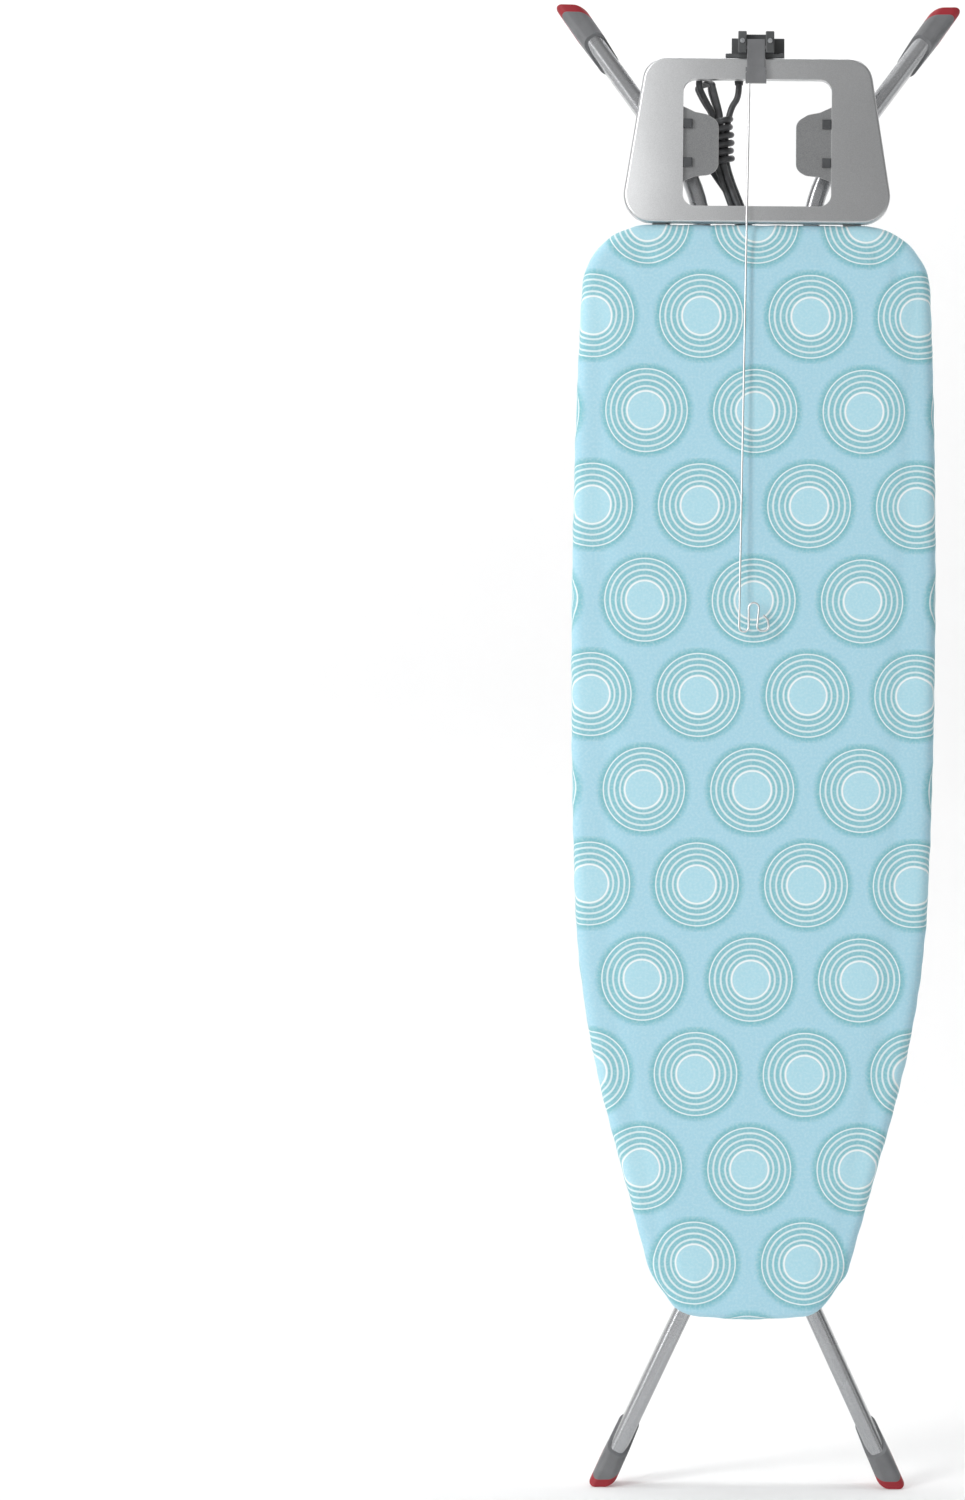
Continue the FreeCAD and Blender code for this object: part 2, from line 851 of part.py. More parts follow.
def end_plugs(name, route):
    """A plug in each square-cut end: a tapered stem under a flat lid."""
    start = route[0]
    run = (route[1] - route[0]).normalize()
    wall = size("tube_wall")
    stem_section = tube_section(
        size("tube_width") - 2 * wall - 0.2,
        size("tube_depth") - 2 * wall - 0.2,
        size("tube_corner") - wall - 0.1,
        start,
        run,
    )
    lid_section = tube_section(
        size("tube_width"), size("tube_depth"), size("tube_corner"), start, run
    )
    stem = slab(name + "_stem", drawn(name + "_stem_line", stem_section), "0", "plug_depth", run)
    lid = slab(name + "_lid", drawn(name + "_lid_line", lid_section), "-sheet_wall", "0", run)
    right = fuse(name + "_right", [stem, lid])
    return group(name + "_both", [right, mirrored(name + "_left", right)])


sub_part(end_plugs("inner_plug", inner_route), "inner_plugs")
sub_part(end_plugs("outer_plug", outer_route), "outer_plugs")

# ------------------------------------------------------- feet

# Each foot is a moulded cap over the tube's end with a rubber sole. The sole
# plane is tilted so that it lies flat when the board stands at working height.


def foot(name, route, envelope):
    """The right-hand cap and sole of one pair of legs."""
    sole = route[2]
    along = (route[2] - route[1]).normalize()
    wall = size("cap_wall")
    width = size("tube_width") + 2 * wall
    depth = size("tube_depth") + 2 * wall
    corner = size("tube_corner") + wall
    reach = along * (size("cap_length") + size("tube_depth"))
    flare = 2 * size("cap_flare")
    steps = ((sole - reach, 0), (sole, flare), (sole + reach, 2 * flare))
    lines = [
        drawn(f"{name}_line_{i}", tube_section(width + grow, depth + grow, corner, place, along))
        for i, (place, grow) in enumerate(steps)
    ]
    blank = doc.addObject("Part::Loft", name + "_blank")
    blank.Sections = lines
    blank.Solid = True
    blank.Ruled = True
    faces = sole_normal(route)
    lean = math.radians(size("sole_tilt"))
    neck_faces = along * math.cos(lean) + Vector(0, math.sin(lean), 0)
    past_neck = beyond_plane(name + "_neck", sole - along * size("cap_length"), neck_faces)
    past_joint = beyond_plane(name + "_joint", sole - faces * size("sole_thickness"), faces)
    past_floor = beyond_plane(name + "_floor", sole, faces)
    rubber = cut(name + "_rubber", common(name + "_past_joint", blank, past_joint), past_floor)
    sleeve = common(name + "_past_neck", blank, past_neck)
    shell = cut(name + "_shell", sleeve, past_joint, envelope)
    return shell, rubber


for pair, route, envelope in (
    ("inner", inner_route, inner_envelope),
    ("outer", outer_route, outer_envelope),
):
    shell, rubber = foot(f"{pair}_foot", route, envelope)
    sub_part(shell, f"{pair}_cap_right")
    sub_part(mirrored(f"{pair}_shell_left", shell), f"{pair}_cap_left")
    soles = group(f"{pair}_rubber_both", [rubber, mirrored(f"{pair}_rubber_left", rubber)])
    sub_part(soles, f"{pair}_soles")

# ------------------------------------------------------- centre pivot

pivot_end = "(outer_run_x + tube_width/2 + side_gap)"
pivot_at = ("tube_y", pivot_z)
sub_part(
    rod(
        "pivot_bar",
        "x",
        "pin_radius",
        (f"-{pivot_end} - cap_nut_height/2", f"{pivot_end} + cap_nut_height/2"),
        pivot_at,
    ),
    "pivot_rod",
)
gap_low = "(inner_run_x + tube_width/2)"
gap_high = "(outer_run_x - tube_width/2 - side_gap)"
spacer_high = "(inner_run_x - tube_width/2)"
pivot_spacers = [
    ring(
        "pivot_spacer_middle",
        "washer_radius - 2",
        pivot_clear,
        (f"-{spacer_high}", spacer_high),
        pivot_at,
    ),
    ring("pivot_washer_right", "washer_radius", pivot_clear, (gap_low, gap_high), pivot_at),
    ring("pivot_washer_left", "washer_radius", pivot_clear, (f"-{gap_high}", f"-{gap_low}"), pivot_at),
]
sub_part(group("pivot_spacer_set", pivot_spacers), "pivot_spacers")


def origin_plane(body, role):
    """One of a body's own origin planes."""
    return next(part for part in body.Origin.OriginFeatures if part.Role == role)


def new_sketch(body, name, role):
    """A sketch on one of the body's origin planes."""
    drawing = body.newObject("Sketcher::SketchObject", name)
    drawing.AttachmentSupport = [(origin_plane(body, role), "")]
    drawing.MapMode = "FlatFace"
    return drawing


def draw_loop(drawing, corners):
    """A closed loop of lines whose corners are tied to the sheet."""
    first = drawing.GeometryCount
    count = len(corners)
    for i in range(count):
        start = Vector(i, i * i, 0)
        end = Vector((i + 1) % count, ((i + 1) % count) ** 2, 0)
        drawing.addGeometry(Part.LineSegment(start, end), False)
    for i in range(count):
        drawing.addConstraint(
            Sketcher.Constraint("Coincident", first + i, 2, first + (i + 1) % count, 1)
        )
    for i, (across, up) in enumerate(corners):
        for kind, formula in (("DistanceX", across), ("DistanceY", up)):
            index = drawing.addConstraint(Sketcher.Constraint(kind, -1, 1, first + i, 1, 1.0))
            bind(drawing, f"Constraints[{index}]", formula)


def draw_circle(drawing, radius, across, up):
    """A circle whose radius and centre are tied to the sheet."""
    index = drawing.addGeometry(Part.Circle(Vector(1, 1, 0), Vector(0, 0, 1), 5), False)
    for kind, formula in (("DistanceX", across), ("DistanceY", up)):
        number = drawing.addConstraint(Sketcher.Constraint(kind, -1, 1, index, 3, 1.0))
        bind(drawing, f"Constraints[{number}]", formula)
    number = drawing.addConstraint(Sketcher.Constraint("Radius", index, 5.0))
    bind(drawing, f"Constraints[{number}]", radius)


def turned(name, corners, place, turn=Rotation()):
    """A body turned about its own X axis from half of its section."""
    body = doc.addObject("PartDesign::Body", name)
    body.Placement = Placement(Vector(), turn)
    drawing = new_sketch(body, name + "_section", "XY_Plane")
    draw_loop(drawing, corners)
    spin = body.newObject("PartDesign::Revolution", name + "_spin")
    spin.Profile = drawing
    spin.ReferenceAxis = (drawing, ["H_Axis"])
    spin.Angle = 360
    for letter, formula in zip("xyz", place):
        bind(body, f"Placement.Base.{letter}", formula)
    return body


# Domed cap nuts on the ends of the pivot rod.
nut_section = [
    ("side_gap/2", "pin_radius + running_gap"),
    ("side_gap/2", "cap_nut_radius"),
    ("cap_nut_height*0.6", "cap_nut_radius"),
    ("cap_nut_height*0.85", "cap_nut_radius*0.75"),
    ("cap_nut_height", "cap_nut_radius*0.3"),
    ("cap_nut_height", "0"),
    ("cap_nut_height/2 + 0.3", "0"),
    ("cap_nut_height/2 + 0.3", "pin_radius + running_gap"),
]
cap_nut = turned("cap_nut", nut_section, (pivot_end, "tube_y", pivot_z))
sub_part(group("cap_nut_pair", [cap_nut, mirrored("cap_nut_left", cap_nut)]), "pivot_nuts")

# ------------------------------------------------------- slide rod

slide_end = f"({outer_lug_high} + 1.5)"
slide_at = ("hinge_y", slide_z)
sub_part(
    rod("slide_bar", "x", "slide_radius", (f"-{slide_end}", slide_end), slide_at), "slide_rod"
)

# Nylon rollers keep the rod centred between the walls of the guide.
roller_section = [
    ("-roller_width/2", "slide_radius + running_gap"),
    ("-roller_width/2", "roller_radius - 0.6"),
    ("-roller_width/2 + 0.6", "roller_radius"),
    ("roller_width/2 - 0.6", "roller_radius"),
    ("roller_width/2", "roller_radius - 0.6"),
    ("roller_width/2", "slide_radius + running_gap"),
]
roller_x = "(guide_half_width - sheet_wall - roller_width/2 - side_gap)"
roller = turned("roller", roller_section, (roller_x, "hinge_y", slide_z))
sub_part(group("roller_pair", [roller, mirrored("roller_left", roller)]), "slide_rollers")

# ------------------------------------------------------- height lever

lever_z = f"({guide_high_z} + lever_above_guide)"
LEVER_Z = SLIDE_Z + size("slide_travel") + size("guide_end_margin") + size("lever_above_guide")
GUIDE_LOW_Z = SLIDE_Z - size("guide_margin")
lever_end_z = GUIDE_LOW_Z - 3
grip_end_x = size("board_half_width") - size("grip_side_gap")
grip_start_x = "(board_half_width - grip_side_gap - grip_length)"
lever_points = [
    Vector(size("lever_x"), size("lever_y"), lever_end_z),
    Vector(size("lever_x"), size("lever_y"), LEVER_Z),
    Vector(size("lever_x") + 18, size("lever_run_y"), LEVER_Z),
    Vector(grip_end_x - 6, size("lever_run_y"), LEVER_Z),
]
lever_radii = [0, 7, 7, 0]
lever_rod = wire_along("lever_rod", size("lever_radius"), lever_points, lever_radii)
sub_part(lever_rod, "lever_shaft")

# Keeper strip, welded along the shaft, which holds the slide rod in its notch.
keeper_block = block(
    "keeper_block",
    x=("lever_x - keeper_reach", "lever_x"),
    y=("lever_y - keeper_thickness", "lever_y"),
    z=(f"{guide_low_z} + sheet_wall + 1", f"{slide_top_z} - slide_radius"),
)
lever_core = rod(
    "lever_core",
    "z",
    "lever_radius + running_gap/2",
    (f"{guide_low_z}", guide_high_z),
    ("lever_x", "lever_y"),
)
sub_part(cut("keeper_plate", keeper_block, lever_core), "keeper_strip")

# Moulded grip over the end of the lever rod.
grip_body = doc.addObject("PartDesign::Body", "grip_body")
grip_sketch = new_sketch(grip_body, "grip_outline", "XZ_Plane")
draw_loop(
    grip_sketch,
    [
        ("0", "-grip_width*0.3"),
        ("grip_length*0.3", "-grip_width/2"),
        ("grip_length", "-grip_width/2"),
        ("grip_length", "grip_width/2"),
        ("grip_length*0.3", "grip_width/2"),
        ("0", "grip_width*0.3"),
    ],
)
grip_pad = grip_body.newObject("PartDesign::Pad", "grip_pad")
grip_pad.Profile = grip_sketch
grip_pad.Midplane = True
bind(grip_pad, "Length", "grip_thickness")
for letter, formula in zip("xyz", (grip_start_x, "lever_run_y", lever_z)):
    bind(grip_body, f"Placement.Base.{letter}", formula)
grip_bore = rod(
    "grip_bore",
    "x",
    "lever_radius + running_gap",
    (f"{grip_start_x} - 1", f"{grip_start_x} + grip_length - 6"),
    ("lever_run_y", lever_z),
)
grip_solid = fillet("grip_soft", grip_body, 2.5, lambda edge: True)
sub_part(cut("grip_drilled", grip_solid, grip_bore), "lever_grip")

# Return spring, wound round the shaft inside the top of the guide.
spring_turns = size("spring_turns")
spring_wire = size("spring_wire")
spring_pitch = spring_wire * 1.3
spring_radius = size("lever_radius") + 0.5 + spring_wire / 2
spring_z = SLIDE_Z + size("slide_travel") + size("slide_radius") + 3
coil = Part.makeHelix(spring_pitch, spring_pitch * spring_turns, spring_radius)
spring_ring = Part.Circle(Vector(spring_radius, 0, 0), Vector(0, 1, 0), spring_wire / 2)
spring_section = Part.Wire([spring_ring.toShape()])
lever_spring = drawn("spring_coil", Part.Wire(coil).makePipeShell([spring_section], True, True))
lever_spring.Placement = Placement(
    Vector(size("lever_x"), size("lever_y"), spring_z), Rotation()
)
sub_part(lever_spring, "lever_spring")

# ------------------------------------------------------- iron rest

REST_TOP_Z = size("rest_top_bar")
REST_BOTTOM_Z = -size("rest_opening_height") - size("rest_bottom_bar")
rest_line = drawn(
    "rest_line",
    rounded(
        [
            Vector(-size("rest_top_half_width"), 0, REST_TOP_Z),
            Vector(size("rest_top_half_width"), 0, REST_TOP_Z),
            Vector(size("rest_bottom_half_width"), 0, REST_BOTTOM_Z),
            Vector(-size("rest_bottom_half_width"), 0, REST_BOTTOM_Z),
        ],
        [
            size("rest_top_radius"),
            size("rest_top_radius"),
            size("rest_bottom_radius"),
            size("rest_bottom_radius"),
        ],
    ),
)
opening_half = size("rest_opening_half_width")
opening_line = drawn(
    "opening_line",
    rounded(
        [
            Vector(-opening_half, 0, 0),
            Vector(opening_half, 0, 0),
            Vector(opening_half, 0, -size("rest_opening_height")),
            Vector(-opening_half, 0, -size("rest_opening_height")),
        ],
        [size("rest_opening_radius")] * 4,
    ),
)
rest_back = "(rest_face_y + rest_depth)"
rest_blank = slab("rest_blank", rest_line, "rest_face_y", rest_back)


def on_front_face(edge):
    """Edges that lie all along the front face of the rest."""
    box = edge.BoundBox
    return box.YMax < size("rest_face_y") + 0.01


rest_soft = fillet("rest_soft", rest_blank, size("rest_edge_round"), on_front_face)
rest_room_line = offset("rest_room_line", rest_line, "-rest_wall")
rest_room = slab("rest_room", rest_room_line, "rest_face_y + rest_wall", f"{rest_back} + 1")
collar_line = offset("collar_line", opening_line, "rest_wall")
rest_collar = slab(
    "rest_collar", collar_line, "rest_face_y + rest_wall", "rest_face_y + rest_collar_depth"
)
rest_hole = slab("rest_hole", opening_line, "rest_face_y - 1", f"{rest_back} + 1")
rest_shell = cut("rest_shell", rest_soft, rest_room)
rest_pressing = fuse("rest_pressing", [rest_shell, rest_collar])
saddle_screw_x = ("-socket_half_width - 3", "socket_half_width - 4")
saddle_screw_y = "(rest_face_y + rest_depth/2 + 1)"
saddle_holes = [
    rod(
        f"saddle_hole_{i}",
        "z",
        "screw_radius + 0.1",
        ("rest_top_bar - 3", "rest_top_bar + saddle_thickness + 1"),
        (place, saddle_screw_y),
    )
    for i, place in enumerate(saddle_screw_x)
]
sub_part(cut("rest_steel", rest_pressing, rest_hole, *saddle_holes), "rest_frame")

# Sheet wings that narrow the opening, welded to its collar. Each has an
# S-shaped shoulder above and below its straight free edge.
wing_top = size("wing_top_z")
wing_bottom = wing_top - size("wing_height")
wing_free_x = opening_half - size("wing_width")
shoulder = size("wing_shoulder")
wing_points = [
    Vector(opening_half, 0, wing_top),
    Vector(opening_half - 13, 0, wing_top - 6),
    Vector(opening_half - 26, 0, wing_top - 8.5),
    Vector(wing_free_x, 0, wing_top - shoulder),
    Vector(wing_free_x, 0, wing_bottom + shoulder * 0.8),
    Vector(opening_half - 28, 0, wing_bottom + 7),
    Vector(opening_half - 13, 0, wing_bottom + 5.5),
    Vector(opening_half, 0, wing_bottom),
]
wing_bend = size("wing_corner_radius")
wing_radii = [0, wing_bend, wing_bend, wing_bend, wing_bend, wing_bend, wing_bend, 0]
wing_line = drawn("wing_line", rounded(wing_points, wing_radii))
wing_front = "(rest_face_y + wing_recess)"
wing = slab("wing", wing_line, wing_front, f"{wing_front} + wing_wall")
rest_wing_right = sub_part(wing, "rest_wing_right")
sub_part(mirrored("wing_left", wing), "rest_wing_left")

# Square silicone pads on the wings, where a hot iron's heel rests.
pad_blocks = []
for i, pad_z in enumerate(
    ("(wing_top_z - rest_pad_inset)", "(wing_top_z - wing_height + rest_pad_inset + 2)")
):
    pad_block = block(
        f"rest_pad_{i}",
        x=(
            "rest_opening_half_width - rest_pad_size - 0.3",
            "rest_opening_half_width - 0.3",
        ),
        y=(f"{wing_front} - rest_pad_thickness", wing_front),
        z=(f"{pad_z} - rest_pad_size/2", f"{pad_z} + rest_pad_size/2"),
    )
    soft_pad = fillet(
        f"rest_pad_soft_{i}",
        pad_block,
        1.2,
        lambda edge: edge.BoundBox.YMax < size("rest_face_y") + size("wing_recess") - 0.01,
    )
    pad_blocks += [soft_pad, mirrored(f"rest_pad_left_{i}", soft_pad)]
sub_part(group("rest_pad_set", pad_blocks), "rest_pads")

# Flat arms carry the rest from the board. Each lies on the first cross member.
stud_low_z = "(stud_top_z - stud_pitch)"
arm_bar = block(
    "arm_bar",
    x=(arm_low_x, arm_high_x),
    y=("arm_y", "arm_y + arm_thickness"),
    z=(arm_end_z, "arm_top_z"),
)
stud_places = (("top", "stud_top_z"), ("low", stud_low_z))
stud_span = ("rest_face_y + rest_wall", "arm_y + arm_thickness + small_nut_height + 1.5")
arm_drills = [
    rod(
        f"arm_drill_{label}",
        "y",
        "stud_radius + 0.2",
        ("arm_y - 1", "arm_y + arm_thickness + 1"),
        ("arm_x", place),
    )
    for label, place in stud_places
]
arm_right = sub_part(cut("arm_drilled", arm_bar, *arm_drills), "rest_arm_right")
sub_part(mirrored("arm_left", arm_right), "rest_arm_left")

studs = []
spacers = []
nuts = []
for label, place in stud_places:
    stud = rod(f"stud_{label}", "y", "stud_radius", stud_span, ("arm_x", place))
    studs += [stud, mirrored(f"stud_left_{label}", stud)]
    sleeve = rod(
        f"sleeve_{label}", "y", "spacer_radius", ("rest_face_y + rest_wall", "arm_y"), ("arm_x", place)
    )
    sleeve_bore = rod(
        f"sleeve_bore_{label}",
        "y",
        "stud_radius + 0.2",
        ("rest_face_y + rest_wall - 1", "arm_y + 1"),
        ("arm_x", place),
    )
    spacer = cut(f"spacer_{label}", sleeve, sleeve_bore)
    spacers += [spacer, mirrored(f"spacer_left_{label}", spacer)]
    nut_prism = doc.addObject("Part::Prism", f"nut_prism_{label}")
    nut_prism.Polygon = 6
    nut_prism.Placement = Placement(Vector(), TURN_TO["y"])
    bind(nut_prism, "Circumradius", "small_nut_radius")
    bind(nut_prism, "Height", "small_nut_height")
    for letter, formula in zip("xyz", ("arm_x", "arm_y + arm_thickness", place)):
        bind(nut_prism, f"Placement.Base.{letter}", formula)
    nut_bore = rod(
        f"nut_bore_{label}",
        "y",
        "stud_radius + 0.1",
        ("arm_y", "arm_y + arm_thickness + small_nut_height + 1"),
        ("arm_x", place),
    )
    nut = cut(f"nut_{label}", nut_prism, nut_bore)
    nuts += [nut, mirrored(f"nut_left_{label}", nut)]
sub_part(group("stud_set", studs), "rest_studs")
sub_part(group("spacer_set", spacers), "rest_spacers")
sub_part(group("nut_set", nuts), "rest_nuts")

# ------------------------------------------------------- socket

# A moulded saddle sits on the top bar and carries the socket behind it.
saddle_top = "(rest_top_bar + saddle_thickness)"
socket_top = "(socket_bottom_z + socket_height)"
saddle_deck = block(
    "saddle_deck",
    x=("saddle_left_x", "socket_half_width"),
    y=("rest_face_y + 1", "socket_front_y"),
    z=("rest_top_bar", saddle_top),
)
saddle_wall = block(
    "saddle_wall",
    x=("-socket_half_width", "socket_half_width"),
    y=(f"{rest_back} + layer_gap", "socket_front_y"),
    z=("2", socket_top),
)
saddle_solid = fuse("saddle_solid", [saddle_deck, saddle_wall])
guide_screw_z = "(guide_pivot_z + 6.7)"
ear_gap = "(guide_arm_width/2 + side_gap)"
guide_screw_x = (
    f"guide_arm_x - {ear_gap} - guide_ear_width/2",
    f"guide_arm_x + {ear_gap} + guide_ear_width/2",
)
screw_holes = [
    rod(
        f"guide_screw_hole_{i}",
        "y",
        "screw_radius + 0.1",
        ("guide_ear_front_y - 1", "socket_front_y + socket_wall + 1"),
        (place, guide_screw_z),
    )
    for i, place in enumerate(guide_screw_x)
]
sub_part(cut("saddle_drilled", saddle_solid, *saddle_holes, *screw_holes), "socket_saddle")

saddle_screws = []
for i, place in enumerate(saddle_screw_x):
    shank = rod(
        f"saddle_shank_{i}",
        "z",
        "screw_radius",
        ("rest_top_bar - 6", saddle_top),
        (place, saddle_screw_y),
    )
    head = rod(
        f"saddle_head_{i}",
        "z",
        "screw_head_radius",
        (saddle_top, f"{saddle_top} + screw_head_height"),
        (place, saddle_screw_y),
    )
    saddle_screws.append(fuse(f"saddle_screw_{i}", [shank, head]))
# Housing: an open box with the socket's mouth on top and a lid at the back.
socket_mid_y = "(socket_front_y + socket_depth/2)"
housing_back = "(socket_front_y + socket_depth)"
housing_block = block(
    "housing_block",
    x=("-socket_half_width", "socket_half_width"),
    y=("socket_front_y", f"{housing_back} - socket_wall"),
    z=("socket_bottom_z", socket_top),
)
housing_soft = fillet(
    "housing_soft",
    housing_block,
    2.0,
    lambda edge: edge.BoundBox.ZLength > 0.9 * size("socket_height")
    or edge.BoundBox.ZMin > size("socket_bottom_z") + size("socket_height") - 0.01,
)
housing_room = block(
    "housing_room",
    x=("-socket_half_width + socket_wall", "socket_half_width - socket_wall"),
    y=("socket_front_y + socket_wall", f"{housing_back} + 1"),
    z=("socket_bottom_z + socket_wall", f"{socket_top} - socket_wall"),
)
face_radius = "(socket_recess_radius + socket_wall)"
gland_x = "(-socket_half_width + gland_inset)"
housing_mouth = rod(
    "housing_mouth",
    "z",
    face_radius,
    (f"{socket_top} - 2*socket_wall", f"{socket_top} + 1"),
    ("0", socket_mid_y),
)
gland_hole = rod(
    "gland_hole",
    "z",
    "cord_radius + 1.6",
    ("socket_bottom_z - 1", "socket_bottom_z + socket_wall + 1"),
    (gland_x, "gland_y"),
)
sub_part(
    cut("housing_shell", housing_soft, housing_room, housing_mouth, gland_hole, *screw_holes),
    "socket_housing",
)
lid = block(
    "lid_block",
    x=("-socket_half_width", "socket_half_width"),
    y=(f"{housing_back} - socket_wall", housing_back),
    z=("socket_bottom_z", socket_top),
)
lid_screw_x = ("-socket_half_width + 5", "socket_half_width - 5")
lid_screws = []
lid_holes = []
for i, place in enumerate(lid_screw_x):
    at = (place, "socket_bottom_z + 6")
    lid_holes.append(
        rod(
            f"lid_hole_{i}",
            "y",
            "screw_radius + 0.1",
            (f"{housing_back} - socket_wall - 1", f"{housing_back} + 1"),
            at,
        )
    )
    shank = rod(f"lid_shank_{i}", "y", "screw_radius", (f"{housing_back} - 8", housing_back), at)
    head = rod(
        f"lid_head_{i}",
        "y",
        "screw_head_radius",
        (housing_back, f"{housing_back} + screw_head_height"),
        at,
    )
    lid_screws.append(fuse(f"lid_screw_{i}", [shank, head]))
sub_part(cut("lid_drilled", lid, *lid_holes), "socket_back_cover")
sub_part(group("socket_screw_set", saddle_screws + lid_screws), "socket_screws")

# Socket insert: a round cup let into the housing, with two pin holes.
face_body = doc.addObject("PartDesign::Body", "face_body")
cup_sketch = new_sketch(face_body, "cup_outline", "XY_Plane")
draw_circle(cup_sketch, f"{face_radius} - 0.1", "0", "0")
cup_pad = face_body.newObject("PartDesign::Pad", "cup_pad")
cup_pad.Profile = cup_sketch
bind(cup_pad, "Length", "socket_recess_depth + socket_wall")
recess_sketch = new_sketch(face_body, "recess_outline", "XY_Plane")
bind(recess_sketch, "AttachmentOffset.Base.z", "socket_recess_depth + socket_wall")
draw_circle(recess_sketch, "socket_recess_radius", "0", "0")
recess = face_body.newObject("PartDesign::Pocket", "recess")
recess.Profile = recess_sketch
bind(recess, "Length", "socket_recess_depth")
pin_sketch = new_sketch(face_body, "pin_holes", "XY_Plane")
bind(pin_sketch, "AttachmentOffset.Base.z", "socket_wall")
for sign in ("-", ""):
    draw_circle(pin_sketch, "socket_pin_radius", f"{sign}socket_pin_spacing/2", "0")
pin_holes = face_body.newObject("PartDesign::Pocket", "pin_pocket")
pin_holes.Profile = pin_sketch
bind(pin_holes, "Length", "socket_wall")
for letter, formula in zip("xyz", ("0", socket_mid_y, f"{socket_top} - socket_recess_depth - socket_wall")):
    bind(face_body, f"Placement.Base.{letter}", formula)
sub_part(face_body, "socket_face")

# Brass sleeves under the pin holes.
contact_top = f"({socket_top} - socket_recess_depth - socket_wall)"
contacts = []
for i, place in enumerate(("-socket_pin_spacing/2", "socket_pin_spacing/2")):
    sleeve = rod(
        f"contact_sleeve_{i}",
        "z",
        "socket_pin_radius + contact_wall",
        (f"{contact_top} - contact_length", contact_top),
        (place, socket_mid_y),
    )
    sleeve_bore = rod(
        f"contact_bore_{i}",
        "z",
        "socket_pin_radius",
        (f"{contact_top} - contact_length - 1", f"{contact_top} + 1"),
        (place, socket_mid_y),
    )
    contacts.append(cut(f"contact_{i}", sleeve, sleeve_bore))
sub_part(group("contact_pair", contacts), "socket_contacts")

# ------------------------------------------------------- cable guide

# The bracket has two ears with the arm's pin between them, joined at the back.
ear_spans = (
    (f"guide_arm_x - {ear_gap} - guide_ear_width", f"guide_arm_x - {ear_gap}"),
    (f"guide_arm_x + {ear_gap}", f"guide_arm_x + {ear_gap} + guide_ear_width"),
)
guide_ears = [
    block(
        f"guide_ear_{i}",
        x=span,
        y=("guide_ear_front_y", f"{rest_back} + layer_gap"),
        z=(saddle_top, "guide_ear_top_z"),
    )
    for i, span in enumerate(ear_spans)
]
soft_ears = [
    fillet(
        f"guide_ear_soft_{i}",
        ear,
        1.2,
        lambda edge: edge.BoundBox.ZMin > size("guide_ear_top_z") - 0.01
        or edge.BoundBox.YMax < size("guide_ear_front_y") + 0.01,
    )
    for i, ear in enumerate(guide_ears)
]
guide_bridge = block(
    "guide_bridge",
    x=(f"guide_arm_x - {ear_gap} - 0.5", f"guide_arm_x + {ear_gap} + 0.5"),
    y=("rest_face_y + 6", f"{rest_back} + layer_gap"),
    z=(saddle_top, "guide_ear_top_z - 1.5"),
)
guide_solid = fuse("guide_solid", soft_ears + [guide_bridge])
pin_span = (
    f"guide_arm_x - {ear_gap} - guide_ear_width/2",
    f"guide_arm_x + {ear_gap} + guide_ear_width/2",
)
guide_pin_hole = rod(
    "guide_pin_hole", "x", "guide_pin_radius + running_gap", pin_span, ("guide_pivot_y", "guide_pivot_z")
)
sub_part(cut("guide_bracket_solid", guide_solid, guide_pin_hole, *screw_holes), "guide_bracket")
sub_part(
    rod("guide_pin_bar", "x", "guide_pin_radius", pin_span, ("guide_pivot_y", "guide_pivot_z")),
    "guide_pin",
)
guide_screws = []
for i, place in enumerate(guide_screw_x):
    shank = rod(
        f"guide_shank_{i}",
        "y",
        "screw_radius",
        ("guide_ear_front_y", "socket_front_y + socket_wall"),
        (place, guide_screw_z),
    )
    head = rod(
        f"guide_head_{i}",
        "y",
        "screw_head_radius",
        ("guide_ear_front_y - screw_head_height", "guide_ear_front_y"),
        (place, guide_screw_z),
    )
    guide_screws.append(fuse(f"guide_screw_{i}", [shank, head]))
sub_part(group("guide_screw_pair", guide_screws), "guide_screws")

# The arm swings on the pin. Its lower end grips the wire.
arm_front = "(guide_pivot_y - guide_arm_thickness/2)"
arm_back = "(guide_pivot_y + guide_arm_thickness/2)"
arm_left = "(guide_arm_x - guide_arm_width/2)"
arm_right_x = "(guide_arm_x + guide_arm_width/2)"
arm_stem = block(
    "arm_stem",
    x=(arm_left, arm_right_x),
    y=(arm_front, arm_back),
    z=("guide_arm_bottom_z", "guide_arm_top_z"),
)
arm_clip = block(
    "arm_clip",
    x=(f"{arm_left} - 1.4", f"{arm_right_x} + 1.4"),
    y=(f"{arm_front} - 0.4", arm_back),
    z=("guide_arm_bottom_z", "guide_arm_bottom_z + 17"),
)
notch_tools = [
    rod(
        f"arm_notch_{i}",
        "y",
        "1.8",
        (f"{arm_front} - 1", f"{arm_back} + 1"),
        (place, "guide_arm_bottom_z + 12"),
    )
    for i, place in enumerate((f"{arm_left} - 2.2", f"{arm_right_x} + 2.2"))
]
arm_soft = fillet(
    "arm_soft",
    fuse("arm_solid", [arm_stem, arm_clip]),
    0.8,
    lambda edge: edge.BoundBox.YMax < size("guide_pivot_y") - size("guide_arm_thickness") / 2 + 0.5
    and edge.BoundBox.ZLength > 20,
)
arm_pin_hole = rod(
    "arm_pin_hole",
    "x",
    "guide_pin_radius + running_gap",
    (f"{arm_left} - 2", f"{arm_right_x} + 2"),
    ("guide_pivot_y", "guide_pivot_z"),
)
wire_x = "(guide_arm_x - guide_arm_width/2 + 1.5 + wire_radius)"
WIRE_X = size("guide_arm_x") - size("guide_arm_width") / 2 + 1.5 + size("wire_radius")
wire_hole = rod(
    "wire_hole",
    "z",
    "wire_radius + 0.05",
    ("guide_arm_bottom_z - 1", "guide_arm_bottom_z + 12"),
    (wire_x, "guide_pivot_y"),
)
sub_part(cut("arm_drilled_solid", arm_soft, *notch_tools, arm_pin_hole, wire_hole), "guide_arm")

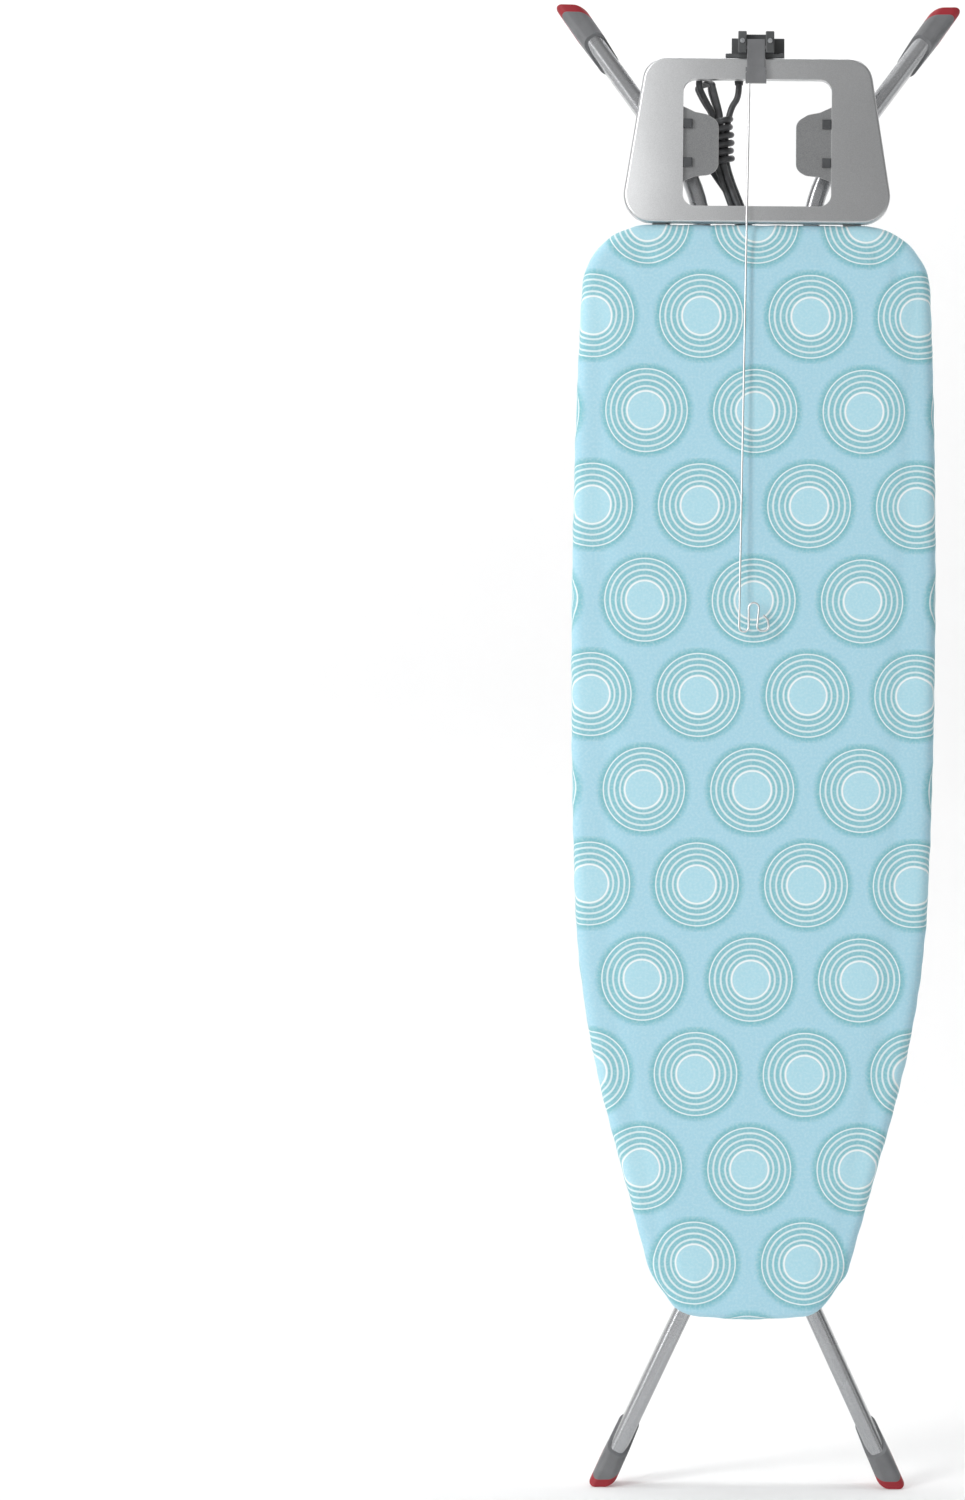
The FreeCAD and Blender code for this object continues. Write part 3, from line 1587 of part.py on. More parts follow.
# Sprung wire, hooked twice at its end to hold the iron's flex.
hook_z = size("wire_hook_z")
pivot_y = size("guide_pivot_y")
hook_y = pivot_y - 8
wire_start_z = size("guide_arm_bottom_z") + 10
hook_x = WIRE_X - 6.5
wire_points = [
    Vector(WIRE_X, pivot_y, wire_start_z),
    Vector(WIRE_X, pivot_y, wire_start_z - 18),
    Vector(hook_x, hook_y, hook_z),
    Vector(hook_x + 10.4, hook_y, hook_z),
    Vector(hook_x + 10.4, hook_y, hook_z + 31.7),
    Vector(hook_x + 22.0, hook_y, hook_z + 31.7),
    Vector(hook_x + 19.4, hook_y, hook_z + 0.5),
    Vector(hook_x + 33.0, hook_y, hook_z + 1.2),
    Vector(hook_x + 31.6, hook_y, hook_z + 13.0),
    Vector(hook_x + 26.4, hook_y, hook_z + 18.2),
]
wire_radii = [0, 60, 5.1, 5.1, 5.7, 5.3, 5.2, 5.2, 3.4, 0]
sub_part(
    wire_along("guide_wire_bar", size("wire_radius"), wire_points, wire_radii), "guide_wire"
)

# ------------------------------------------------------- mains lead

# A tapered gland under the housing, then the lead, which is wound on itself as
# a hank that hangs behind the rest. A short tail ends in the plug.
GLAND_X = -size("socket_half_width") + size("gland_inset")
GLAND_Y = size("gland_y")
gland_top = Vector(GLAND_X, GLAND_Y, size("socket_bottom_z"))
cord_radius = size("cord_radius")
gland_cone = doc.addObject("Part::Cone", "gland_cone")
gland_cone.Placement = Placement(gland_top, Rotation(Vector(1, 0, 0), 180))
bind(gland_cone, "Radius1", "cord_radius + 3")
bind(gland_cone, "Radius2", "cord_radius + 1")
bind(gland_cone, "Height", "gland_length")
gland_neck = rod(
    "gland_neck",
    "z",
    "cord_radius + 1.5",
    ("socket_bottom_z", "socket_bottom_z + socket_wall + 2"),
    (gland_x, "gland_y"),
)
sub_part(fuse("gland_solid", [gland_cone, gland_neck]), "cord_gland")


def route_report(name, points):
    """The arc radius at each inner point: 0.45 of the shorter run, tangent."""
    radii = [0.0]
    for before, here, after in zip(points, points[1:], points[2:]):
        back = before - here
        ahead = after - here
        half = back.getAngle(ahead) / 2
        radii.append(0.45 * min(back.Length, ahead.Length) * math.tan(half))
    radii.append(0.0)
    print(name, "bend radii", [round(radius, 1) for radius in radii[1:-1]])
    return radii


lead_start = gland_top - Vector(0, 0, size("gland_length"))
lead_points = [
    lead_start,
    Vector(GLAND_X, GLAND_Y, -14),
    Vector(-32, 31, -24.5),
    Vector(-42, 32, -36),
]
lead_radii = route_report("cord_lead", lead_points)
sub_part(wire_along("lead_cord", cord_radius, lead_points, lead_radii), "cord_lead")

# Hank: a fan of loops above, a neck where the cord is wrapped six times round
# itself, and a longer bundle of loops that leans to the right below.


def ellipse_section(centre, across, deep, normal):
    """An oval square to a direction, as wide across and as deep as asked."""
    side = Vector(0, 1, 0).cross(normal).normalize()
    turns = [math.radians(22.5 * step) for step in range(16)]
    around = [
        centre + side * (across * math.cos(turn)) + Vector(0, deep * math.sin(turn), 0)
        for turn in turns
    ]
    line = Part.BSplineCurve()
    line.interpolate(around, PeriodicFlag=True)
    return Part.Wire([line.toShape()])


def hank_part(name, stations):
    """A lofted length of the hank between its sections."""
    lines = []
    for i, (centre, across, deep, normal) in enumerate(stations):
        lines.append(drawn(f"{name}_line_{i}", ellipse_section(centre, across, deep, normal)))
    solid = doc.addObject("Part::Loft", name)
    solid.Sections = lines
    solid.Solid = True
    return solid


down = Vector(0, 0, -1)
lean = Vector(55, 0, -150).normalize()
hank_fan = hank_part(
    "hank_fan",
    [
        (Vector(-57, 33, 12), 17, 24, down),
        (Vector(-53, 33, -8), 17, 20, down),
        (Vector(-43.5, 32, -31), 12, 11, down),
    ],
)
hank_neck = hank_part(
    "hank_neck",
    [
        (Vector(-43.5, 32, -28), 16.8, 16.6, down),
        (Vector(-42.5, 33, -58), 17, 16.8, down),
        (Vector(-40.5, 34, -92), 16.8, 16.6, down),
    ],
)
hank_bundle = hank_part(
    "hank_bundle",
    [
        (Vector(-41, 34, -89), 12, 11.5, lean),
        (Vector(-20, 36, -142), 12.5, 11.5, lean),
        (Vector(0, 37, -196), 12.5, 11, lean),
        (Vector(8, 34, -224), 15, 14, down),
        (Vector(11, 35, -250), 18, 24, down),
    ],
)
sub_part(fuse("hank_solid", [hank_fan, hank_neck, hank_bundle]), "cord_hank")

tail_points = [
    Vector(-38, 40, -86),
    Vector(-33, 51, -112),
    Vector(-21, 59, -136),
    Vector(-9, 67, -158),
    Vector(-9, 67, -180),
]
tail_radii = route_report("cord_tail", tail_points)
sub_part(wire_along("tail_cord", cord_radius, tail_points, tail_radii), "cord_tail")

# Straight moulded plug: a tapered grip, a round flange and two pins.
plug_top = tail_points[-1]
plug_section = [
    ("0", "0"),
    ("0", "cord_radius + 1.5"),
    ("14", "cord_radius + 4"),
    ("30", "plug_flange_radius - 7"),
    ("34", "plug_flange_radius"),
    ("42", "plug_flange_radius"),
    ("44", "plug_flange_radius - 2"),
    ("44", "0"),
]
sub_part(
    turned("plug_moulding", plug_section, tuple(plug_top), Rotation(Vector(0, 1, 0), 90)),
    "plug_body",
)
plug_pins = []
for i, sign in enumerate((-1, 1)):
    pin = doc.addObject("Part::Cylinder", f"plug_pin_{i}")
    bind(pin, "Radius", "plug_pin_radius")
    bind(pin, "Height", "plug_pin_length")
    base = plug_top + Vector(sign * size("plug_pin_spacing") / 2, 0, -44)
    pin.Placement = Placement(base, Rotation(Vector(1, 0, 0), 180))
    plug_pins.append(pin)
sub_part(group("plug_pin_pair", plug_pins), "plug_pins")

# ------------------------------------------------------- checks and export

doc.recompute()

faults = []
for thing in doc.Objects:
    if "Invalid" in thing.State or "Error" in thing.State:
        faults.append(f"{thing.Name}: {thing.State}")
for thing in sub_parts:
    shape = thing.Shape
    if shape.isNull() or not shape.isValid() or not shape.Solids:
        faults.append(f"{thing.Label}: shape is empty or not valid")
if faults:
    raise RuntimeError("\n".join(faults))

for name in ("lead_cord", "tail_cord"):
    line = doc.getObject(name + "_route").Shape
    full = math.pi * cord_radius**2 * line.Length
    share = doc.getObject(name).Shape.Volume / full
    print(name, "length", round(line.Length, 1), "volume", round(share, 3))

os.makedirs("parts", exist_ok=True)
for thing in sub_parts:
    thing.Shape.exportStep(f"parts/{thing.Label}.step")
print(len(sub_parts), "sub-parts")
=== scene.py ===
import json
import math

import bpy
import numpy as np
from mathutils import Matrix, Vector


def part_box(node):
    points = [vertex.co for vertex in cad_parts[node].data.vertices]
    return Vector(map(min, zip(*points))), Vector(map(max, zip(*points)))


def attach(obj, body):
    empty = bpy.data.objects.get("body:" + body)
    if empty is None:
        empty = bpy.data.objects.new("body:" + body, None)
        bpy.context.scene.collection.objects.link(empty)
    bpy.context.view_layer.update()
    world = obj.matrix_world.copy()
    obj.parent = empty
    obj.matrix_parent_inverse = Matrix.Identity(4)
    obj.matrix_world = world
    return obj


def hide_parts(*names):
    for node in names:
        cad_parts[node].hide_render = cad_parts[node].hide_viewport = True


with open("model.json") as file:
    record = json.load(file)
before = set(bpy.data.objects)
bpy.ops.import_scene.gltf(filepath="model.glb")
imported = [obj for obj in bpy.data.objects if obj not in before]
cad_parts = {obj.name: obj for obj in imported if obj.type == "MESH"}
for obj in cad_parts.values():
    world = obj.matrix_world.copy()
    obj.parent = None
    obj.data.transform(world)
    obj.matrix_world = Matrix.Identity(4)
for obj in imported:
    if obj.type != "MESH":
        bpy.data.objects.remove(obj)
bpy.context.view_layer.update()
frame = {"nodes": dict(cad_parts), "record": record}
NODES = frame["nodes"]
bpy.context.view_layer.update()


# Studio: a white paper sweep, from under the feet to behind the board.
# It is matt and evenly lit, so nothing but the board shows.
def hex_tone(code):
    """An sRGB hex colour as linear red, green and blue, with an alpha of 1."""
    parts = [int(code[i : i + 2], 16) / 255 for i in (1, 3, 5)]
    return tuple(((c + 0.055) / 1.055) ** 2.4 if c > 0.04045 else c / 12.92 for c in parts) + (1.0,)


def add_node(tree, kind, inputs=None, **settings):
    """Adds a shader node; settings are its own, inputs its sockets' values or links."""
    made = tree.nodes.new("ShaderNode" + kind)
    for name, value in settings.items():
        setattr(made, name, value)
    for socket, value in (inputs or {}).items():
        if isinstance(value, bpy.types.NodeSocket):
            tree.links.new(value, made.inputs[socket])
        else:
            made.inputs[socket].default_value = value
    return made


def new_finish(name, **surface):
    """A material with its shader set; returns it with its tree and shader."""
    made = bpy.data.materials.new(name)
    made.use_nodes = True
    shader = made.node_tree.nodes["Principled BSDF"]
    for socket, value in surface.items():
        shader.inputs[socket.replace("_", " ")].default_value = value
    return made, made.node_tree, shader


def deselect():
    """Clears the selection, so that an operator acts on one piece only."""
    if bpy.context.object and bpy.context.object.mode != "OBJECT":
        bpy.ops.object.mode_set(mode="OBJECT")
    bpy.ops.object.select_all(action="DESELECT")


FLOOR_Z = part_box("inner_soles")[0].z - 0.0005
SWEEP_BACK_Y = 1.5
SWEEP_HALF_WIDTH = 6.0
SWEEP_HEIGHT = 5.0
SWEEP_FRONT_Y = -9.0
SWEEP_BEND = 0.9
deselect()
bpy.ops.mesh.primitive_plane_add(size=1.0, location=(0, 0, 0))
sweep = bpy.context.object
sweep.name = "paper_sweep"
sweep_corners = [
    (-SWEEP_HALF_WIDTH, SWEEP_FRONT_Y),
    (SWEEP_HALF_WIDTH, SWEEP_FRONT_Y),
    (-SWEEP_HALF_WIDTH, SWEEP_BACK_Y),
    (SWEEP_HALF_WIDTH, SWEEP_BACK_Y),
]
for vertex, (x, y) in zip(sweep.data.vertices, sweep_corners):
    vertex.co = (x, y, FLOOR_Z)
bpy.ops.object.mode_set(mode="EDIT")
bpy.ops.mesh.select_all(action="DESELECT")
bpy.ops.object.mode_set(mode="OBJECT")
for edge in sweep.data.edges:
    edge.select = all(sweep.data.vertices[i].co.y > 0 for i in edge.vertices)
bpy.ops.object.mode_set(mode="EDIT")
bpy.ops.mesh.select_mode(type="EDGE")
bpy.ops.mesh.extrude_region_move(TRANSFORM_OT_translate={"value": (0, 0, SWEEP_HEIGHT)})
bpy.ops.object.mode_set(mode="OBJECT")
for edge in sweep.data.edges:
    edge.select = all(
        abs(sweep.data.vertices[i].co.y - SWEEP_BACK_Y) < 1e-4
        and abs(sweep.data.vertices[i].co.z - FLOOR_Z) < 1e-4
        for i in edge.vertices
    )
bpy.ops.object.mode_set(mode="EDIT")
bpy.ops.mesh.bevel(offset=SWEEP_BEND, segments=24, profile=0.5)
bpy.ops.object.mode_set(mode="OBJECT")
bpy.ops.object.shade_smooth()
paper, paper_tree, paper_shader = new_finish("white_matt_paper", Roughness=1.0)
paper_shader.inputs["Base Color"].default_value = hex_tone("#F7F7F7")
paper_shader.inputs["Specular IOR Level"].default_value = 0.0
# Seen from its back the paper is clear, so the board shows from all sides.
paper_clear = add_node(paper_tree, "BsdfTransparent").outputs[0]
paper_back = add_node(paper_tree, "NewGeometry").outputs["Backfacing"]
paper_seen = add_node(
    paper_tree,
    "MixShader",
    {0: paper_back, 1: paper_shader.outputs[0], 2: paper_clear},
)
paper_tree.links.new(paper_seen.outputs[0], paper_tree.nodes["Material Output"].inputs["Surface"])
sweep.data.materials.append(paper)

bpy.context.scene.view_settings.view_transform = "Standard"
bpy.context.scene.view_settings.look = "None"
room = bpy.data.worlds.new("white_room")
bpy.context.scene.world = room
room.use_nodes = True
room_light = room.node_tree.nodes["Background"]
room_light.inputs["Color"].default_value = hex_tone("#FFFFFF")
room_way = add_node(room.node_tree, "TexCoord").outputs["Generated"]
room_side = add_node(room.node_tree, "SeparateXYZ", {"Vector": room_way}).outputs["X"]
room_fall = add_node(
    room.node_tree,
    "MapRange",
    {"Value": room_side, "From Min": -0.7, "From Max": 0.7, "To Min": 0.78, "To Max": 0.2},
)
room.node_tree.links.new(room_fall.outputs[0], room_light.inputs["Strength"])
room_white = add_node(room.node_tree, "Background", {"Strength": 1.0})
room_white.inputs["Color"].default_value = hex_tone("#FFFFFF")
room_ray = add_node(room.node_tree, "LightPath").outputs["Is Camera Ray"]
room_seen = add_node(
    room.node_tree, "MixShader", {0: room_ray, 1: room_light.outputs[0], 2: room_white.outputs[0]}
)
room.node_tree.links.new(
    room_seen.outputs[0],
    room.node_tree.nodes["World Output"].inputs["Surface"],
)


def add_softbox(name, place, aim, width, height, watts):
    """A large soft light at a place, turned to face a point."""
    light = bpy.data.lights.new(name, "AREA")
    light.shape = "RECTANGLE"
    light.size = width
    light.size_y = height
    light.energy = watts
    box = bpy.data.objects.new(name, light)
    bpy.context.scene.collection.objects.link(box)
    box.location = place
    box.rotation_euler = (Vector(aim) - Vector(place)).to_track_quat("-Z", "Y").to_euler()


MIDDLE_Z = -0.736
add_softbox("key_left", (-2.4, -2.6, 0.5), (0, 0, MIDDLE_Z), 1.0, 2.2, 60)
add_softbox("fill_right", (2.8, -2.2, -0.6), (0, 0, MIDDLE_Z), 1.0, 2.4, 5)
add_softbox("sweep_wash", (0, 0.3, 2.6), (0, 1.5, -0.9), 4.0, 0.8, 62)

# Camera: square on to the board from a distance, with a long lens.
# The board stands right of the middle, so the lens is shifted sideways.
FRAME_HEIGHT = 1.65
FOCAL_LENGTH = 100.0
SENSOR = 36.0
SIDE_SHIFT = -0.180
CAMERA_ROLL = -0.45
camera_data = bpy.data.cameras.new("camera")
camera = bpy.data.objects.new("camera", camera_data)
bpy.context.scene.collection.objects.link(camera)
bpy.context.scene.camera = camera
camera_data.lens = FOCAL_LENGTH
camera_data.sensor_width = SENSOR
camera_data.sensor_fit = "AUTO"
camera_data.shift_x = SIDE_SHIFT
camera_distance = FRAME_HEIGHT * FOCAL_LENGTH / SENSOR
camera.location = (0, -camera_distance, MIDDLE_Z)
camera.rotation_euler = (math.radians(90), math.radians(CAMERA_ROLL), 0)
camera_data.clip_end = 60.0


# Mains lead: 1.8 m of round grey rubber flex, 7 mm across. It leaves the gland
# under the socket, runs down and up in a hank that is bound by six turns of
# itself, and ends in a moulded plug behind the board.
CORD_DIAMETER = 0.007


def mm(*values):
    """A point given in millimetres, as a vector in metres."""
    return Vector(values) / 1000


lead_route = [mm(-20.8, 30, 0), mm(-20.8, 30, -14), mm(-30, 31, -25)]
hank_core = [
    (mm(-55, 33, -4), 2.2, 3.4),
    (mm(-50, 32.5, -18), 1.8, 2.2),
    (mm(-43.5, 32, -34), 1, 1),
    (mm(-42, 33, -60), 1, 1),
    (mm(-40.5, 34, -90), 1, 1),
    (mm(-20, 36, -142), 1.1, 1.1),
    (mm(0, 36, -196), 1.4, 1.5),
    (mm(9, 35, -226), 1.8, 3.4),
]
down_from_lead = mm(5.9, 0.5, 0)
up_front_left = mm(-4.5, -3.9, 0)
down_back = mm(1.3, 5.7, 0)
up_front_right = mm(2.3, -5.4, 0)
down_back_left = mm(-5.1, 3.0, 0)


def strand(lay, stations):
    """One run of cord along the hank, off its middle line by its own lay."""
    return [core + Vector((lay.x * wide, lay.y * deep, 0)) for core, wide, deep in stations]


def fold(before, after, reach):
    """The four corners of a turn between two runs; a long reach goes over a short one."""
    ahead = Vector((0, 0, reach))
    across = after - before
    near_side = [before + ahead * 0.55, before + ahead + across * 0.18]
    far_side = [before + ahead + across * 0.82, after + ahead * 0.55]
    return near_side + far_side


runs = [
    strand(down_from_lead, hank_core[3:]),
    strand(up_front_left, hank_core[::-1]),
    strand(down_back, hank_core),
    strand(up_front_right, hank_core[::-1]),
    strand(down_back_left, hank_core[:3]),
]
hank_route = list(runs[0])
for before, after, reach in zip(runs, runs[1:], (-0.019, 0.012, -0.011, 0.004)):
    hank_route += fold(before[-1], after[0], reach) + after

WRAP_TURNS = 6
POINTS_PER_TURN = 14
WRAP_RADIUS = 0.0131
wrap_top = mm(-43.3, 32, -36)
wrap_bottom = mm(-40.6, 34, -88)
wrap_start = math.radians(150)
wrap_route = []
for step in range(WRAP_TURNS * POINTS_PER_TURN + 1):
    share = step / (WRAP_TURNS * POINTS_PER_TURN)
    turn = wrap_start - 2 * math.pi * WRAP_TURNS * share
    slack = 1 + 0.06 * math.sin(2.3 * turn)
    ring = Vector((math.cos(turn), math.sin(turn), 0)) * WRAP_RADIUS * slack
    tilt = Vector((0, 0, 0.0022 * math.cos(turn)))
    wrap_route.append(wrap_top.lerp(wrap_bottom, share) + ring + tilt)

tail_route = [
    mm(-44, 52, -101),
    mm(-33, 55, -116),
    mm(-20, 61, -137),
    mm(-9, 67, -156),
    mm(-9, 67, -180),
]
cord_points = lead_route + hank_route + wrap_route + tail_route
cord_curve = bpy.data.curves.new("mains_cord", "CURVE")
cord_curve.dimensions = "3D"
cord_line = cord_curve.splines.new("NURBS")
cord_line.points.add(len(cord_points) - 1)
for point, place in zip(cord_line.points, cord_points):
    point.co = (*place, 1)
cord_line.order_u = 3
cord_line.use_endpoint_u = True
cord_line.resolution_u = 6
cord_curve.bevel_depth = CORD_DIAMETER / 2
cord_curve.bevel_resolution = 5
cord_curve.use_fill_caps = True
mains_cord = bpy.data.objects.new("mains_cord", cord_curve)
bpy.context.scene.collection.objects.link(mains_cord)

# Extruded rubber: dark grey, half matt, with dust in its fine drawn grain.
def set_ramp(ramp, *stops):
    """Gives a colour ramp its stops, each a place from 0 to 1 and a hex colour."""
    bar = ramp.color_ramp
    while len(bar.elements) < len(stops):
        bar.elements.new(0.5)
    for element, (place, code) in zip(bar.elements, stops):
        element.position = place
        element.color = hex_tone(code)


flex, flex_tree, flex_shader = new_finish("extruded_rubber_flex", Roughness=0.38)
flex_place = add_node(flex_tree, "TexCoord").outputs["Object"]
flex_dust = add_node(flex_tree, "TexNoise", {"Vector": flex_place, "Scale": 90.0, "Detail": 6.0})
flex_tone = add_node(flex_tree, "ValToRGB", {"Fac": flex_dust.outputs["Fac"]})
set_ramp(flex_tone, (0.35, "#39393A"), (0.7, "#5A5B5D"))
flex_tree.links.new(flex_tone.outputs["Color"], flex_shader.inputs["Base Color"])
flex_bump = add_node(
    flex_tree,
    "Bump",
    {"Height": flex_dust.outputs["Fac"], "Distance": 0.0002, "Strength": 1.0},
)
flex_tree.links.new(flex_bump.outputs[0], flex_shader.inputs["Normal"])
cord_curve.materials.append(flex)
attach(mains_cord, "board")
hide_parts("cord_lead", "cord_hank", "cord_tail")


# Cover: printed cotton, cut 30 mm larger than the board all round, pulled over
# the felt and the rim, and drawn tight behind by an elastic in its hem.
def pick(thing):
    """Selects one object and makes it the active one."""
    deselect()
    thing.select_set(True)
    bpy.context.view_layer.objects.active = thing


def copy_node(name, copy_name):
    """A merged copy of a CAD node's mesh as a piece of its own."""
    mesh = NODES[name].data.copy()
    piece = bpy.data.objects.new(copy_name, mesh)
    bpy.context.scene.collection.objects.link(piece)
    pick(piece)
    bpy.ops.object.mode_set(mode="EDIT")
    bpy.ops.mesh.select_all(action="SELECT")
    bpy.ops.mesh.remove_doubles(threshold=0.00002)
    bpy.ops.object.mode_set(mode="OBJECT")
    return piece


def turns_out(a, b, c):
    """Whether a line from a to c passes outside b."""
    return (b[0] - a[0]) * (c[1] - a[1]) - (b[1] - a[1]) * (c[0] - a[0]) <= 0


def cut_line(name, height):
    """The outermost line where a level plane cuts a CAD node, in order round it."""
    slice_piece = copy_node(name, name + "_slice")
    bpy.ops.object.mode_set(mode="EDIT")
    bpy.ops.mesh.select_all(action="SELECT")
    bpy.ops.mesh.bisect(
        plane_co=(0, height, 0), plane_no=(0, 1, 0), clear_inner=True, clear_outer=True
    )
    bpy.ops.object.mode_set(mode="OBJECT")
    places = sorted({(v.co.x, v.co.z) for v in slice_piece.data.vertices})
    bpy.data.objects.remove(slice_piece)
    line = []
    for way in (places, places[::-1]):
        part = []
        for place in way:
            while len(part) > 1 and turns_out(part[-2], part[-1], place):
                part.pop()
            part.append(place)
        line += part[:-1]
    return np.array(line[::-1])


AROUND = 480
cover_low, cover_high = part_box("cover")
COVER_FRONT_Y = cover_low.y
COVER_BACK_Y = cover_high.y
outline = cut_line("cover", 0.006)
top_right = max(range(len(outline)), key=lambda i: (round(outline[i, 1], 5), outline[i, 0]))
outline = np.roll(outline, -top_right, axis=0)
top_middle = np.array([[0.0, outline[0, 1]]])
closed = np.vstack([top_middle, outline, top_middle])
travelled = np.concatenate([[0], np.cumsum(np.linalg.norm(np.diff(closed, axis=0), axis=1))])
COVER_GIRTH = float(travelled[-1])
wanted = np.linspace(0, COVER_GIRTH, AROUND, endpoint=False)
edge_line = np.stack([np.interp(wanted, travelled, closed[:, k]) for k in (0, 1)], axis=1)
ahead = np.roll(edge_line, -3, axis=0) - np.roll(edge_line, 3, axis=0)
outward = np.stack([-ahead[:, 1], ahead[:, 0]], axis=1)
outward /= np.linalg.norm(outward, axis=1)[:, None]
if np.sum(outward * (edge_line - edge_line.mean(axis=0))) < 0:
    outward = -outward

# The cloth's section, from its hem behind to its flat front: how far in from
# the board's edge, and how far back from the front face, in metres.
HEM_IN = 0.025
depth = COVER_BACK_Y - COVER_FRONT_Y
section = [
    (HEM_IN - 0.0004, depth - 0.0045),
    (HEM_IN + 0.0010, depth - 0.0028),
    (HEM_IN + 0.0004, depth - 0.0008),
    (HEM_IN - 0.0022, depth - 0.0001),
    (HEM_IN - 0.0052, depth - 0.0008),
    (HEM_IN - 0.0075, depth - 0.0016),
    (0.0120, depth - 0.0014),
    (0.0070, depth - 0.0013),
    (0.0034, depth - 0.0022),
    (0.0011, depth - 0.0050),
    (0.0002, depth - 0.0090),
    (0.0000, 0.0175),
    (0.0000, 0.0125),
    (0.0004, 0.0088),
    (0.0016, 0.0057),
    (0.0036, 0.0032),
    (0.0064, 0.0014),
    (0.0100, 0.0004),
    (0.0145, 0.0000),
]
ROUNDED = len(section)
FRONT_RINGS = 34
flat_rings = [0.020 + 0.0062 * step for step in range(3)]
profile = section + [(inset, -0.0002) for inset in flat_rings]
ripple_turn = np.arange(AROUND) / AROUND * 2 * np.pi
gather = (
    np.sin(96 * ripple_turn)
    + 0.6 * np.sin(61 * ripple_turn + 1.3)
    + 0.5 * np.sin(37 * ripple_turn + 0.4)
)
rings = []
flat_rings_uv = []
lengths = [0.0]
for (inset_a, back_a), (inset_b, back_b) in zip(section, section[1:]):
    lengths.append(lengths[-1] + math.hypot(inset_b - inset_a, back_b - back_a))
for number, (inset, back) in enumerate(profile):
    crowd = max(0.0, 1 - number / 10)
    pucker = 0.0007 * crowd * gather
    side_pucker = 0.00025 * math.exp(-(((number - 13) / 4) ** 2)) * gather
    place = edge_line - outward * (inset + side_pucker)[:, None]
    y = np.full(AROUND, COVER_FRONT_Y + back) - np.abs(pucker)
    rings.append(np.stack([place[:, 0], y, place[:, 1]], axis=1))
    beyond = lengths[-1] - lengths[number] if number < ROUNDED else 0.0
    flat_in = section[-1][0] - beyond if number < ROUNDED else inset
    flat_rings_uv.append(edge_line - outward * flat_in)
inner = rings[-1]
spine_top = inner[:, 2].max() - 0.165
spine_foot = inner[:, 2].min() + 0.085
spine = np.stack(
    [np.zeros(AROUND), inner[:, 1], np.clip(inner[:, 2], spine_foot, spine_top)],
    axis=1,
)
for step in range(1, FRONT_RINGS + 1):
    share = 1 - step / FRONT_RINGS
    ring = spine + (inner - spine) * share
    rings.append(ring)
    flat_rings_uv.append(ring[:, [0, 2]])
cover_flat = np.concatenate(flat_rings_uv)


def join_rings(name, rings):
    """A mesh of quads between rings that each have the same number of points."""
    faces = []
    for ring_number in range(len(rings) - 1):
        for i in range(AROUND):
            j = (i + 1) % AROUND
            a = ring_number * AROUND
            faces.append((a + i, a + j, a + AROUND + j, a + AROUND + i))
    mesh = bpy.data.meshes.new(name)
    mesh.from_pydata(np.concatenate(rings).tolist(), [], faces)
    return mesh


cover_mesh = join_rings("cover_cloth", rings)
FLAT_SPAN = 1.6
flat_map = cover_mesh.uv_layers.new(name="flat_cut")
for loop in cover_mesh.loops:
    x, z = cover_flat[loop.vertex_index]
    flat_map.data[loop.index].uv = (x / FLAT_SPAN + 0.5, z / FLAT_SPAN + 1.0)
cover_cloth = bpy.data.objects.new("cover_cloth", cover_mesh)
bpy.context.scene.collection.objects.link(cover_cloth)
pick(cover_cloth)
bpy.ops.object.mode_set(mode="EDIT")
bpy.ops.mesh.select_all(action="SELECT")
bpy.ops.mesh.remove_doubles(threshold=0.0002)
bpy.ops.mesh.normals_make_consistent(inside=False)
bpy.ops.object.mode_set(mode="OBJECT")
bpy.ops.object.shade_smooth()

held = cover_cloth.vertex_groups.new(name="held_behind")
rim_line = COVER_FRONT_Y + 0.006
held.add([v.index for v in cover_mesh.vertices if v.co.y > rim_line], 1.0, "REPLACE")
before_cloth = np.array([v.co for v in cover_mesh.vertices])
skin_way = np.array([v.normal for v in cover_mesh.vertices])
cloth = cover_cloth.modifiers.new("drawn_tight", "CLOTH")
cloth.settings.vertex_group_mass = "held_behind"
cloth.settings.quality = 5
cloth.settings.use_pressure = True
cloth.settings.uniform_pressure_force = 4.0
cloth.settings.tension_stiffness = 40.0
cloth.settings.compression_stiffness = 40.0
cloth.settings.shear_stiffness = 20.0
cloth.settings.bending_stiffness = 2.0
cloth.settings.effector_weights.gravity = 0.0
bpy.context.scene.frame_start = 1
bpy.context.scene.frame_end = 20
for step in range(1, 21):
    bpy.context.scene.frame_set(step)
pick(cover_cloth)
bpy.ops.object.modifier_apply(modifier="drawn_tight")
bpy.context.scene.frame_set(1)
MOST_SWELL = 0.0022
after_cloth = np.array([v.co for v in cover_mesh.vertices])
moved = after_cloth - before_cloth
# The padding is right behind the cloth, so no part of it sinks.
sunk = np.minimum((moved * skin_way).sum(axis=1), 0.0)
moved -= sunk[:, None] * skin_way
far = np.linalg.norm(moved, axis=1)
moved *= (MOST_SWELL * np.tanh(far / MOST_SWELL) / np.maximum(far, 1e-9))[:, None]
cover_mesh.vertices.foreach_set("co", (before_cloth + moved).astype(np.float32).ravel())
cover_mesh.update()

CLOTH_THICKNESS = 0.0006
pick(cover_cloth)
wall = cover_cloth.modifiers.new("cloth_thickness", "SOLIDIFY")
wall.thickness = CLOTH_THICKNESS
wall.offset = -1.0
bpy.ops.object.modifier_apply(modifier="cloth_thickness")

